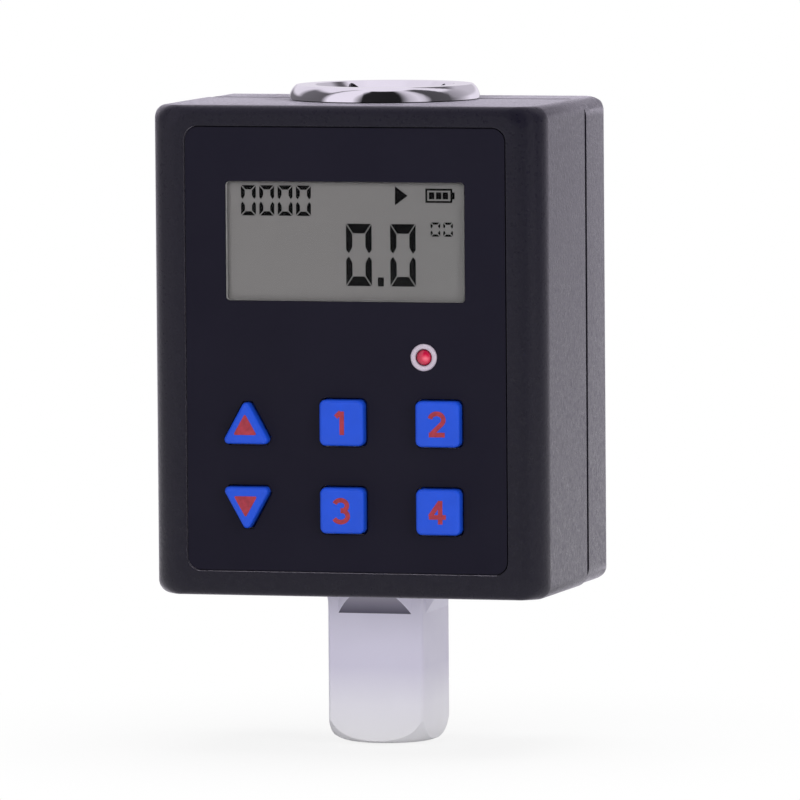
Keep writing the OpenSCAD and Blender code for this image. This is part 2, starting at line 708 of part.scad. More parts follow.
module display_window() color([0.75, 0.8, 0.8, 0.4]) {
    slab(y_panel, y_wall) translate([0, z_view])
        round_rect(view_w - 2 * lens_gap, view_h - 2 * lens_gap, view_r - lens_gap);
    slab(y_wall, y_lcd) translate([0, z_view]) round_rect(lcd_w, lcd_h, view_r);
}

module lcd_glass() color([0.49, 0.49, 0.47]) slab(y_lcd, y_lcd_rear) translate([0, z_view])
    square([lcd_w, lcd_h], center = true);

module lcd_backlight() color("whitesmoke") slab(y_lcd_rear, y_board) translate([0, z_view])
    square([lcd_w - 2 * strip_in, lcd_h - 2 * (strip_in + strip_t / 2 + light_gap)], center = true);

module lcd_contact_strips() color("salmon") for (s = [-1, 1])
    slab(y_lcd_rear, y_board) translate([0, z_view + s * (lcd_h / 2 - strip_in)])
        square([lcd_w - 2 * strip_in, strip_t], center = true);

module led_ring() color("lightgray") difference() {
    union() {
        bar_y(lamp_x, z_lamp, y_panel - lamp_ring_t, y_panel, lamp_ring_d / 2);
        bar_y(lamp_x, z_lamp, y_panel, y_floor, lamp_r + lamp_sleeve_t);
    }
    bar_y(lamp_x, z_lamp, y_panel - lamp_ring_t - overrun, y_floor + overrun, lamp_r + fit);
}

module status_led() color("crimson") {
    lamp_y = y_panel - lamp_ring_t + lamp_r / 2;
    translate([lamp_x, lamp_y, z_lamp]) intersection() {
        sphere(lamp_r);
        translate([-lamp_d, -lamp_d, -lamp_d]) cube([2 * lamp_d, lamp_d, 2 * lamp_d]);
    }
    bar_y(lamp_x, z_lamp, lamp_y, lamp_y + lamp_body_h, lamp_r);
    base_y = y_floor + fit;
    bar_y(lamp_x, z_lamp, base_y, base_y + lamp_base_h, lamp_base_r);
    for (s = [-1, 1]) slab(base_y + lamp_base_h / 2, y_board)
        translate([lamp_x + s * lamp_lead_gap, z_lamp]) square(lamp_lead, center = true);
}

module main_board() color("darkgreen") difference() {
    case_slab(y_board, y_board_rear) square([board_w, board_h], center = true);
    post_bars(y_board - overrun, y_board_rear + overrun, board_screw_r + fit);
}

module board_screws() color("silver") difference() {
    union() {
        post_bars(y_board_rear - board_screw_l, y_board_rear, board_screw_r - thread_bite);
        post_bars(y_board_rear, y_board_rear + board_screw_head_h, board_screw_head_r);
    }
    for (s = [-1, 1], z = post_z)
        cross_recess(s * post_x, z, y_board_rear + board_screw_head_h, 2 * board_screw_head_r);
}

// A box of width w, height h and thickness t on the rear of the board
module on_board(x, z, w, h, t) translate([x - w / 2, y_board_rear, z - h / 2]) cube([w, t, h]);

module board_chips() color([0.12, 0.12, 0.12]) {
    chips_x = board_w * chips_x_share;
    chips_z = z_case + case_h * chips_z_share;
    on_board(chips_x, chips_z, chip_side, chip_side, chip_t);
    on_board(chips_x, chips_z - chip_side - adc_h / 2, adc_w, adc_h, chip_t);
    on_board(0, z_gauge - gauge_h, plug_w, plug_h, plug_t);
    on_board(cell_x[1] - power_plug_w / 2, z_bay_0 + bay_clear, 2 * power_plug_w, plug_h, plug_t);
    for (s = [-1, 1])
        on_board(chips_x - chip_side, chips_z + s * capacitor_w, capacitor_w, capacitor_h, capacitor_t);
    translate([chips_x - quartz_w / 2, y_board_rear + quartz_r + fit, chips_z + chip_side])
        rotate([0, 90, 0]) cylinder(h = quartz_w, r = quartz_r);
}

module radio_module() color("seagreen") {
    radio_x = board_w * radio_x_share;
    radio_z = z_case + case_h * radio_z_share;
    on_board(radio_x, radio_z, radio_w, radio_h, radio_t);
    shield_x = radio_x - shield_w / 2;
    translate([shield_x, y_board_rear + radio_t, radio_z - radio_h / 2 + (radio_w - shield_w) / 2])
        cube([shield_w, shield_t, shield_h]);
    for (i = [0 : antenna_steps])
        translate([shield_x + i * (shield_w - antenna_w) / antenna_steps, y_board_rear + radio_t,
            radio_z + radio_h / 2 - antenna_w - antenna_l]) cube([antenna_w, antenna_t, antenna_l]);
}

module buzzer() color([0.1, 0.1, 0.1]) {
    buzzer_x = board_w * buzzer_x_share;
    buzzer_z = z_case + case_h * buzzer_z_share;
    buzzer_y = y_board_rear + buzzer_h;
    difference() {
        bar_y(buzzer_x, buzzer_z, y_board_rear, buzzer_y, buzzer_r);
        bar_y(buzzer_x, buzzer_z, buzzer_y - buzzer_h / 2, buzzer_y + overrun, buzzer_hole_r);
    }
}

module key_switches() color("gray") for (i = [0 : len(key_places) - 1])
    translate([key_x(i), y_board, key_z(i)]) {
        slab(-switch_body_h, 0) square(switch_side, center = true);
        bar_y(0, 0, -switch_h, -switch_body_h, plunger_r);
    }

// Key number i: a cap that passes through the panel, with a flange behind the front wall
module key(i) color([0.16, 0.35, 0.85]) translate([key_x(i), 0, key_z(i)]) {
    hull() {
        slab(y_key, y_key + key_bevel) key_outline(i, -key_bevel, $fn = 32);
        slab(y_key + key_bevel, y_key_flange) key_outline(i, 0, $fn = 32);
    }
    slab(y_key_flange, y_key_flange + key_flange_t) square(key_side, center = true);
}

module key_up() key(0);
module key_down() key(1);
module key_track() key(2);
module key_memory() key(3);
module key_unit() key(4);
module key_clear() key(5);

// A cell with its nub at the top
module cell() {
    cylinder(h = cell_l - nub_h, r = cell_r);
    cylinder(h = cell_l, r = nub_r);
}

module battery_cells() color("darkorange") {
    translate([cell_x[0], y_cells, z_bay_1 - contact_t - cell_l]) cell();
    translate([cell_x[1], y_cells, z_bay_0 + contact_t + cell_l]) mirror([0, 0, 1]) cell();
}

module battery_contacts() color("silver") {
    for (x = cell_x) {
        raised(z_bay_0, z_bay_0 + contact_t) translate([x, y_cells]) square(contact_side, center = true);
        translate([x - tail_w / 2, y_bay_0 - bay_wall - tail_out, z_bay_0])
            cube([tail_w, y_cells - y_bay_0 + bay_wall + tail_out, contact_t]);
    }
    translate([cell_x[0] - contact_side / 2, y_cells - contact_side / 2, z_bay_1 - contact_t])
        cube([cell_x[1] - cell_x[0] + contact_side, contact_side, contact_t]);
}

module cell_spring() tube(coil(cell_spring_r, cell_spring_tip_r, cell_spring_l - 2 * cell_wire_r,
    cell_spring_turns, coil_steps), cell_wire_r, wire_sides, [0, 0, 1]);

module battery_springs() color("lightgray") {
    translate([cell_x[0], y_cells, z_bay_0 + contact_t + cell_wire_r]) cell_spring();
    translate([cell_x[1], y_cells, z_bay_1 - contact_t - cell_wire_r]) mirror([0, 0, 1]) cell_spring();
}

module battery_leads() color("darkred") for (i = [0, 1])
    tube(eased([cell_x[i], y_bay_0 - bay_wall - tail_out, z_bay_0 + contact_t / 2],
        [cell_x[1] + (i - 1) * power_plug_w, y_board_rear + plug_t, z_bay_0 + bay_clear], lead_steps),
        power_lead_r, lead_sides, [1, 0, 0]);

module battery_door() color([0.22, 0.22, 0.25]) difference() {
    union() {
        slab(y_door, y_rear) door_outline(0);
        door_bars(y_door - pad_h, y_rear - door_t / 2, pad_r);
    }
    door_bars(y_door - pad_h - overrun, y_rear, door_screw_r + fit);
    door_bars(y_door_head, y_rear + overrun, door_screw_head_r + fit);
    for (i = [0 : grip_ribs - 1]) translate([bay_mid - grip_rib_l / 2, y_rear - grip_rib_depth,
        z_bay_mid + (i - (grip_ribs - 1) / 2) * grip_rib_gap - grip_rib_w / 2])
        cube([grip_rib_l, grip_rib_depth + overrun, grip_rib_w]);
}

module door_screws() color("dimgray") difference() {
    union() {
        door_bars(y_door_head - door_screw_l, y_door_head, door_screw_r);
        door_bars(y_door_head, y_door_head + door_screw_head_h, door_screw_head_r);
    }
    for (z = door_screw_z) cross_recess(bay_mid, z, y_door_head + door_screw_head_h, 2 * door_screw_head_r);
}

torque_shaft();
detent_ball();
detent_spring();
strain_gauges();
gauge_leads();
front_shell();
rear_shell();
shell_gasket();
flange_gasket();
neck_seal();
case_screws();
front_panel();
display_window();
lcd_glass();
lcd_backlight();
lcd_contact_strips();
led_ring();
status_led();
main_board();
board_screws();
board_chips();
radio_module();
buzzer();
key_switches();
key_up();
key_down();
key_track();
key_memory();
key_unit();
key_clear();
battery_cells();
battery_contacts();
battery_springs();
battery_leads();
battery_door();
door_screws();
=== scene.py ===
"""Studio picture of a digital torque adapter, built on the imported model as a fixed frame.

Sizes of pieces and finishes are in millimetres in the model's frame: the shaft runs along Z through
the origin, the drive square stands on the floor and the panel faces -Y. They become metres where a
mesh or a material is made. The camera, the lamps and the floor are given in metres.
"""
from __future__ import annotations

import json
import logging
import math
from dataclasses import dataclass, field
from enum import Enum
from typing import Any, Sequence

import bmesh
import bpy
import numpy as np
from mathutils import Matrix, Vector

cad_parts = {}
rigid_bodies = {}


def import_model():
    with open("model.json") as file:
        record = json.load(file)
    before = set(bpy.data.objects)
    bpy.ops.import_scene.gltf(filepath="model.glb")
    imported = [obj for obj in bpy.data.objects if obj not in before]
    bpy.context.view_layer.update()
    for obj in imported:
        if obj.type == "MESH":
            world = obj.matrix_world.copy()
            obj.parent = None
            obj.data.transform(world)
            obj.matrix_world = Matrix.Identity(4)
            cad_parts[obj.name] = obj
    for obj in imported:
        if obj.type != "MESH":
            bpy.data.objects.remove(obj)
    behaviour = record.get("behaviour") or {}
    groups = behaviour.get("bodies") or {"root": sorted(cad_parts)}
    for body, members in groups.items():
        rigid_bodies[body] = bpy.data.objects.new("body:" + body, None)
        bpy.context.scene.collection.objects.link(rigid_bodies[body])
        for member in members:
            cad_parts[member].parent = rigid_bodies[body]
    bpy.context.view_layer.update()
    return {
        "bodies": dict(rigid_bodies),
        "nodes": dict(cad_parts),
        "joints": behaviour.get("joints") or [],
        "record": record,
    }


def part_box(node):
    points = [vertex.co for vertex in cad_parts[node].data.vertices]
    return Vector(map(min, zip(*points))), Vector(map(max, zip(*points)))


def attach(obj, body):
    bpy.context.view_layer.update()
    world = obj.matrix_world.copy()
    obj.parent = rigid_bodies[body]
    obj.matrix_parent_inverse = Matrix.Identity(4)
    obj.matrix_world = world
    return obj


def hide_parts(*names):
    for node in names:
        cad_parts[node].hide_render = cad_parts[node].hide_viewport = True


LOG = logging.getLogger("torque_adapter")
MM = 0.001
WELD_M = 2e-6  # Corners of a CAD node that lie this near are one, in metres
CLOUD = (0.3, 0.7)  # Range that nearly all of a noise texture's values lie in
GLOSS_RATE = 1.7  # How many times finer the gloss wanders than the colour
WAVE_RATE = 0.314  # A wave texture of scale 1 repeats every 2 pi / 20
WHITE = (1.0, 1.0, 1.0, 1.0)

Colour = tuple[float, float, float, float]
Point = tuple[float, float, float]
Tree = bpy.types.NodeTree
Socket = bpy.types.NodeSocket


class Axis(Enum):
    """An axis of the frame, numbered as in a coordinate."""

    X = 0
    Y = 1
    Z = 2


# Colours and nodes


def srgb(code: str) -> Colour:
    """Turns an sRGB hex code into a linear colour.

    Args:
        code: The colour as "#RRGGBB".

    Returns:
        Red, green, blue and an alpha of 1, linear.
    """
    raw = np.array([int(code[i : i + 2], 16) for i in (1, 3, 5)]) / 255
    linear = np.where(raw <= 0.04045, raw / 12.92, ((raw + 0.055) / 1.055) ** 2.4)
    return (float(linear[0]), float(linear[1]), float(linear[2]), 1.0)


def scaled(colour: Colour, share: float) -> Colour:
    """Returns a colour made lighter or darker by a share, its alpha kept."""
    return (colour[0] * share, colour[1] * share, colour[2] * share, colour[3])


def add(tree: Tree, kind: str, inputs: dict[Any, Any] | None = None,
        stops: Sequence[tuple[float, Colour]] = (), **settings: Any) -> bpy.types.Node:
    """Adds one node, sets it up and feeds it.

    Args:
        tree: Node tree that gets the node.
        kind: Node type without its "ShaderNode" beginning.
        inputs: Input names or numbers with the value or the output socket that each takes.
        stops: Positions from 0 to 1 with their colours, in order, for a colour ramp.
        settings: Attributes of the node itself.

    Returns:
        The new node.
    """
    node = tree.nodes.new("ShaderNode" + kind)
    for key, value in settings.items():
        setattr(node, key, value)
    for key, value in (inputs or {}).items():
        if isinstance(value, bpy.types.NodeSocket):
            tree.links.new(value, node.inputs[key])
        else:
            node.inputs[key].default_value = value
    if stops:
        elements = node.color_ramp.elements
        while len(elements) < len(stops):
            elements.new(0.5)
        for element, (position, colour) in zip(elements, stops):
            element.position = position
            element.color = colour
    return node


def bare_tree(owner: bpy.types.Material | bpy.types.World) -> Tree:
    """Turns on the nodes of a material or a world, and empties them.

    Args:
        owner: The material or world.

    Returns:
        Its node tree.
    """
    owner.use_nodes = True
    owner.node_tree.nodes.clear()
    return owner.node_tree


# Finishes


@dataclass(frozen=True)
class Finish:
    """A real material and how its surface was made.

    Scales are in millimetres on the object. The mottle is the slow change of colour and gloss,
    and the grain is the fine relief that breaks up a highlight.
    """

    name: str
    colour: str
    roughness: float
    metallic: float = 0.0
    specular: float = 0.5
    coat: float = 0.0
    sheen: float = 0.0
    sheen_roughness: float = 0.4
    sheen_tint: str = "#FFFFFF"
    mottle: float = 0.08
    mottle_mm: float = 9.0
    spread: float = 0.15
    grain: float = 0.25
    grain_mm: float = 0.35
    grain_depth_mm: float = 0.02
    edge_mm: float = 0.0

    def tint(self, tree: Tree, place: Socket) -> Socket:
        """Gives the base colour, here with its slow mottle.

        Args:
            tree: The material's nodes.
            place: Object coordinates.

        Returns:
            The colour's socket.
        """
        base = srgb(self.colour)
        cloud = add(tree, "TexNoise", {
            "Vector": place, "Scale": 1 / (self.mottle_mm * MM), "Detail": 3.0})
        shades = (scaled(base, 1 - self.mottle), scaled(base, 1 + self.mottle))
        stops = list(zip(CLOUD, shades))
        return add(tree, "ValToRGB", {0: cloud.outputs["Fac"]}, stops).outputs["Color"]

    def relief(self, tree: Tree, place: Socket) -> Socket:
        """Gives the normal, with the grain and a small rounding of sharp edges.

        Args:
            tree: The material's nodes.
            place: Object coordinates.

        Returns:
            The normal's socket.
        """
        grain = add(tree, "TexNoise", {
            "Vector": place, "Scale": 1 / (self.grain_mm * MM), "Detail": 2.0})
        bump = add(tree, "Bump", {"Strength": self.grain, "Distance": self.grain_depth_mm * MM,
                                  "Height": grain.outputs["Fac"]})
        if self.edge_mm > 0:
            soft = add(tree, "Bevel", {"Radius": self.edge_mm * MM}, samples=4)
            tree.links.new(soft.outputs["Normal"], bump.inputs["Normal"])
        return bump.outputs["Normal"]

    def gloss(self, tree: Tree, place: Socket) -> Socket:
        """Gives the roughness, which wanders a little as handling and moulding leave it.

        Args:
            tree: The material's nodes.
            place: Object coordinates.

        Returns:
            The roughness's socket.
        """
        cloud = add(tree, "TexNoise", {
            "Vector": place, "Scale": GLOSS_RATE / (self.mottle_mm * MM), "Detail": 4.0})
        spread = add(tree, "MapRange", {
            "Value": cloud.outputs["Fac"], "From Min": CLOUD[0], "From Max": CLOUD[1],
            "To Min": self.roughness * (1 - self.spread),
            "To Max": self.roughness * (1 + self.spread)})
        return spread.outputs["Result"]

    def surface(self, tree: Tree, place: Socket) -> Socket:
        """Gives the whole shader.

        Args:
            tree: The material's nodes.
            place: Object coordinates.

        Returns:
            The shader's socket.
        """
        shader = add(tree, "BsdfPrincipled", {
            "Base Color": self.tint(tree, place), "Roughness": self.gloss(tree, place),
            "Normal": self.relief(tree, place), "Metallic": self.metallic,
            "Specular IOR Level": self.specular, "Coat Weight": self.coat,
            "Sheen Weight": self.sheen, "Sheen Roughness": self.sheen_roughness,
            "Sheen Tint": srgb(self.sheen_tint)})
        return shader.outputs["BSDF"]

    def build(self) -> bpy.types.Material:
        """Makes the material once and returns it from then on.

        Returns:
            The material.
        """
        material = bpy.data.materials.get(self.name)
        if material is None:
            material = bpy.data.materials.new(self.name)
            tree = bare_tree(material)
            place = add(tree, "TexCoord").outputs["Object"]
            add(tree, "OutputMaterial", {"Surface": self.surface(tree, place)})
        return material


@dataclass(frozen=True)
class BandedFinish(Finish):
    """A finish whose colour changes along one axis, such as a printed sleeve, or painted light and
    shade along a glass or a steel bar.
    """

    axis: Axis = Axis.Z
    start_mm: float = 0.0
    end_mm: float = 1.0
    bands: tuple[tuple[float, str], ...] = ()
    stepped: bool = True

    def tint(self, tree: Tree, place: Socket) -> Socket:
        """Gives the banded colour.

        Args:
            tree: The material's nodes.
            place: Object coordinates.

        Returns:
            The colour's socket.
        """
        along = add(tree, "SeparateXYZ", {0: place}).outputs[self.axis.value]
        share = add(tree, "MapRange", {"Value": along, "From Min": self.start_mm * MM,
                                       "From Max": self.end_mm * MM}).outputs["Result"]
        node = add(tree, "ValToRGB", {0: share}, [(stop, srgb(code)) for stop, code in self.bands])
        if self.stepped:
            node.color_ramp.interpolation = "CONSTANT"
        return node.outputs["Color"]


@dataclass(frozen=True)
class LinedFinish(Finish):
    """A finish with fine lines of a second colour, such as etched foil or board tracks."""

    line_colour: str = "#FFFFFF"
    pitch_mm: float = 1.0
    wander: float = 0.0
    wander_scale: float = 0.4
    edges: tuple[float, float] = (0.62, 0.7)
    direction: Axis = Axis.Z

    def tint(self, tree: Tree, place: Socket) -> Socket:
        """Gives the ground colour with its lines.

        Args:
            tree: The material's nodes.
            place: Object coordinates.

        Returns:
            The colour's socket.
        """
        wave = add(tree, "TexWave", {
            "Vector": place, "Scale": WAVE_RATE / (self.pitch_mm * MM), "Distortion": self.wander,
            "Detail Scale": self.wander_scale}, bands_direction=self.direction.name)
        shades = (srgb(self.colour), srgb(self.line_colour))
        return add(tree, "ValToRGB", {0: wave.outputs["Fac"]},
                   list(zip(self.edges, shades))).outputs["Color"]


@dataclass(frozen=True)
class LensFinish(Finish):
    """Tinted clear resin, with painted shade at its rim and a painted highlight where it gathers
    the light.
    """

    # The glow is a painted highlight, the light that the dome gathers, not light of its own
    glow: str = "#FF6080"
    spot: Point = (0.0, 0.0, 0.0)
    highlight_mm: float = 1.0
    body_at: float = 0.45
    rim_shade: float = 0.55

    def tint(self, tree: Tree, place: Socket) -> Socket:
        """Gives the colour by distance from the painted highlight, with painted shade towards the
        rim.

        Args:
            tree: The material's nodes.
            place: Object coordinates.

        Returns:
            The colour's socket.
        """
        centre = tuple(v * MM for v in self.spot)
        away = add(tree, "VectorMath", {0: place, 1: centre}, operation="DISTANCE").outputs["Value"]
        share = add(tree, "MapRange", {
            "Value": away, "From Min": 0.0, "From Max": self.highlight_mm * MM}).outputs["Result"]
        body = srgb(self.colour)
        stops = [(0.0, srgb(self.glow)), (self.body_at, body), (1.0, scaled(body, self.rim_shade))]
        return add(tree, "ValToRGB", {0: share}, stops).outputs["Color"]


@dataclass(frozen=True)
class ClearFinish(Finish):
    """Coated clear plastic: all but invisible, its reflection growing towards a grazing view."""

    ior: float = 1.14

    def surface(self, tree: Tree, place: Socket) -> Socket:
        """Gives the clear shader.

        Args:
            tree: The material's nodes.
            place: Object coordinates.

        Returns:
            The shader's socket.
        """
        normal = self.relief(tree, place)
        facing = add(tree, "Fresnel", {"IOR": self.ior, "Normal": normal})
        through = add(tree, "BsdfTransparent", {"Color": self.tint(tree, place)})
        shine = add(tree, "BsdfGlossy", {"Roughness": self.gloss(tree, place), "Normal": normal})
        return add(tree, "MixShader", {
            0: facing.outputs["Fac"], 1: through.outputs[0], 2: shine.outputs[0]}).outputs[0]


class Finishes:
    """Every finish of the adapter, named for the real material and process."""

    # Moulded shells: charcoal with a faint violet cast and the frosting of a sparked mould, whose
    # pits are about 0.2 mm in truth and drawn coarser so that they show
    SHELL = Finish("Spark_textured_black_ABS", "#13111D", 0.36, specular=0.23, sheen=0.52,
                   sheen_tint="#ECE4F8", mottle=0.05, mottle_mm=1.4, spread=0.4, grain=1.0,
                   grain_mm=0.8, grain_depth_mm=0.05, edge_mm=0.25)
    # Panel: a satin printed film, flatter and darker than the shell round it
    PANEL = Finish("Satin_printed_polyester_film", "#151320", 0.5, specular=0.12, mottle=0.04,
                   mottle_mm=20, grain=0.15, grain_mm=0.6, grain_depth_mm=0.01, edge_mm=0.12)
    # Keys: bright blue moulded caps with a soft sheen on their rounded edges
    KEY = Finish("Moulded_blue_polycarbonate", "#1849C6", 0.36, specular=0.3, mottle=0.05,
                 mottle_mm=5, grain_mm=0.4, grain_depth_mm=0.015)
    # Key legends: thin screen-printed red ink whose cover is a little uneven
    KEY_INK = Finish("Screen_printed_red_ink", "#942838", 0.55, mottle=0.18, mottle_mm=0.9,
                     grain=0.3, grain_mm=0.2)
    # Display: grey reflective liquid crystal, a little darker to the right with painted shade
    GLASS = BandedFinish("Reflective_display_glass", "#7E7C7C", 0.4, specular=0.1, grain=0.05,
                         axis=Axis.X, start_mm=-26, end_mm=26, stepped=False,
                         bands=((0.0, "#7D7B7B"), (0.55, "#7B7979"), (1.0, "#787777")))
    # Display segments: near-black crystal under the glass
    SEGMENT = Finish("Dark_liquid_crystal", "#050506", 0.5, specular=0.05, mottle=0.1, mottle_mm=3)
    # Window: clear acrylic whose anti-glare coat leaves only a weak reflection
    WINDOW = ClearFinish("Anti_glare_coated_acrylic", "#FEFEFE", 0.06, mottle=0.0, grain=0.02,
                         grain_mm=3)
    # Window's edge: a painted reflection, as pale as the display glass that its polished wall
    # mirrors
    WINDOW_EDGE = Finish("Polished_acrylic_edge", "#C4C2C3", 0.3, specular=0.1, mottle=0.02)
    # Lamp ring: pale moulded collar with a faint rose cast from the lamp
    RING = Finish("Moulded_pale_acetal", "#B9AEBC", 0.35, mottle=0.05, mottle_mm=3, grain=0.15)
    # Lamp: deep crimson epoxy with a bright pink spot off its middle, a painted highlight
    LAMP = LensFinish("Tinted_lamp_epoxy", "#C01440", 0.12, coat=0.6, grain=0.02, glow="#FF7C92",
                      spot=(15.9, -28.4, 76.1), highlight_mm=1.7)
    # Flange: bright chromium over nickel, mirror-like with a faint waviness and hairlines
    CHROME = Finish("Bright_chromium_plate", "#EAE8ED", 0.07, metallic=1.0, mottle=0.03,
                    mottle_mm=8, grain=0.08, grain_mm=2.5, grain_depth_mm=0.012)
    # Drive square: forged steel, shot-blasted and plated to a lavender satin
    # Its colour is painted light and shade: it pales to its end, is darkest halfway up and lighter
    # again at the top
    STEEL = BandedFinish("Satin_plated_alloy_steel", "#D5D1E4", 0.38, metallic=0.4, grain=0.35,
                         grain_mm=0.3, edge_mm=0.2, end_mm=30, stepped=False,
                         bands=((0.0, "#F4F3F6"), (0.25, "#EBE9F2"), (0.5, "#D3CFE2"),
                                (1.0, "#DBD7EA")))
    # Run-outs: the cutter's sloped ends above the front and rear flats, darkest where they leave
    # the flat
    # Their darker copy of the steel, darkest where they leave the flat, is painted shade
    RUNOUT_SHADE = BandedFinish("Milled_steel_run_out", "#6E6A7C", 0.42, metallic=0.6, grain=0.3,
                          grain_mm=0.3, start_mm=25.2, end_mm=30, stepped=False,
                          bands=((0.0, "#5C5869"), (0.2, "#757182"), (0.6, "#9A96A6"),
                                 (1.0, "#A5A1B1")))
    # Gaskets and seal: dull black rubber
    RUBBER = Finish("Moulded_nitrile_rubber", "#0B0B0C", 0.75, specular=0.3, mottle=0.12,
                    mottle_mm=4, grain=0.4, grain_mm=0.25)
    # Screws: blackened steel with worn, brighter spots
    BLACK_SCREW = Finish("Black_oxide_steel_screws", "#2A2A2D", 0.4, metallic=0.9, mottle=0.25,
                         mottle_mm=1.5, grain=0.3, grain_mm=0.2)
    # Small screws and contacts: bright nickel plate
    NICKEL = Finish("Nickel_plated_steel", "#C2BDB4", 0.24, metallic=1.0, mottle_mm=2, grain=0.2,
                    grain_mm=0.3)
    # Springs: drawn music wire, greyer than plate
    SPRING = Finish("Drawn_spring_wire", "#9B9A98", 0.3, metallic=1.0, mottle=0.1, mottle_mm=1.2,
                    grain=0.2, grain_mm=0.15)
    # Detent ball: ground and polished, so it mirrors its surroundings
    BALL = Finish("Hardened_bearing_steel", "#CFCFD2", 0.12, metallic=1.0, mottle=0.04, mottle_mm=2,
                  grain=0.1)
    # Board: green solder mask with lighter tracks under it
    BOARD = LinedFinish("Green_solder_mask", "#0F4A2A", 0.3, coat=0.4, grain=0.15,
                        line_colour="#1C6B3F", pitch_mm=1.9, wander=6.0)
    # Radio module: bare green laminate with a row of gold pads
    RADIO = LinedFinish("Green_module_laminate", "#1A5E44", 0.32, coat=0.3, line_colour="#B79A4C",
                        pitch_mm=1.27, direction=Axis.X)
    # Chips, buzzer and switches: dull filled resins, each with its mould's fine grain
    CHIP = Finish("Moulded_epoxy_packages", "#17171A", 0.55, mottle=0.12, mottle_mm=2, grain=0.4,
                  grain_mm=0.12)
    BUZZER = Finish("Moulded_black_polyester", "#101012", 0.5, mottle=0.1, mottle_mm=3, grain=0.3)
    SWITCH = Finish("Grey_switch_nylon", "#8A8A88", 0.5, mottle_mm=2, grain=0.3)
    # Gauges: amber backing film with the etched metal grid
    GAUGE = LinedFinish("Etched_foil_on_polyimide", "#B4761E", 0.35, line_colour="#D8C9A6",
                        pitch_mm=0.5)
    # Contact strips: salmon silicone with its fine black conducting layers
    STRIP = LinedFinish("Layered_contact_rubber", "#D48C86", 0.6, line_colour="#3B3532",
                        pitch_mm=0.35, direction=Axis.X)
    # Backlight: milky acrylic that scatters light evenly
    DIFFUSER = Finish("Milky_light_guide_acrylic", "#E8E8E2", 0.4, mottle=0.03, mottle_mm=6)
    # Leads: soft silicone, duller than PVC
    LEAD_RED = Finish("Red_silicone_insulation", "#9E1B1E", 0.45, mottle=0.1, mottle_mm=2,
                      grain=0.2)
    LEAD_DARK = Finish("Black_silicone_insulation", "#1A1718", 0.45, mottle=0.1, mottle_mm=2,
                       grain=0.2)
    # Cells: printed sleeve in plain bands, bright caps
    CELL = BandedFinish("Printed_cell_sleeve", "#C0762A", 0.28, metallic=0.35, coat=0.4,
                        start_mm=41.2, end_mm=92.2,
                        bands=((0.0, "#BFBCB4"), (0.13, "#C97B28"), (0.42, "#1D1C20"),
                               (0.88, "#BFBCB4")))


# Surfaces


@dataclass
class Skin:
    """Points in millimetres, and the faces of one or more closed skins."""

    points: np.ndarray
    faces: list[list[int]]

    def __add__(self, other: "Skin") -> "Skin":
        """Puts two skins into one.

        Args:
            other: The skin that comes after this one.

        Returns:
            Both, the other's faces counted on from this one's points.
        """
        start = len(self.points)
        moved = [[i + start for i in face] for face in other.faces]
        return Skin(np.concatenate([self.points, other.points]), self.faces + moved)


def joined(skins: Sequence[Skin]) -> Skin:
    """Puts several skins into one."""
    return sum(skins[1:], skins[0])


def rounded(core: np.ndarray, radius: float, steps: int = 8) -> np.ndarray:
    """Rounds a convex core outwards: each corner becomes an arc between its sides' normals.

    Args:
        core: Corners in X and Z, anticlockwise.
        radius: Radius of the arcs, which is also how far the sides move out.
        steps: Steps in each arc.

    Returns:
        The outline's points.
    """
    side = np.roll(core, -1, 0) - core
    after = np.arctan2(-side[:, 0], side[:, 1])
    before = np.roll(after, 1)
    turn = (after - before) % (2 * np.pi)
    angle = before[:, None] + turn[:, None] * np.linspace(0, 1, steps + 1)
    bend = radius * np.stack([np.cos(angle), np.sin(angle)], -1)
    return (core[:, None] + bend).reshape(-1, 2)


def box_core(width: float, height: float) -> np.ndarray:
    """Corners of a rectangle round the origin, anticlockwise."""
    return np.array([[-1, -1], [1, -1], [1, 1], [-1, 1]]) * [width / 2, height / 2]


def round_box(width: float, height: float, radius: float, steps: int = 8) -> np.ndarray:
    """Outline of a rectangle with rounded corners."""
    return rounded(box_core(width - 2 * radius, height - 2 * radius), radius, steps)


def at(shape: np.ndarray, y: float, x0: float = 0.0, z0: float = 0.0) -> np.ndarray:
    """Puts a flat outline at a depth y, moved by x0 and z0."""
    return np.stack([shape[:, 0] + x0, np.full(len(shape), y), shape[:, 1] + z0], -1)


def loft(rings: Sequence[np.ndarray] | np.ndarray, hoop: bool = False) -> Skin:
    """Joins closed rings of equally many points, each point to its fellow on the next ring.

    Args:
        rings: Rings of points, in order.
        hoop: Whether the last ring joins the first, in place of a flat face over each end.

    Returns:
        The closed skin.
    """
    stack = np.asarray(rings)
    rows, columns = stack.shape[:2]
    grid = np.arange(rows * columns).reshape(rows, columns)
    onward = np.roll(grid, -1, 1)
    quads = np.stack([grid[:-1], onward[:-1], onward[1:], grid[1:]], -1).reshape(-1, 4)
    if hoop:
        ends = np.stack([grid[0], onward[0], onward[-1], grid[-1]], -1)
    else:
        ends = np.stack([grid[0, ::-1], grid[-1]])
    return Skin(stack.reshape(-1, 3), quads.tolist() + ends.tolist())


def prism(shape: np.ndarray, back: float, front: float) -> Skin:
    """A flat shape with depth, from y = back to y = front."""
    return loft([at(shape, back), at(shape, front)])


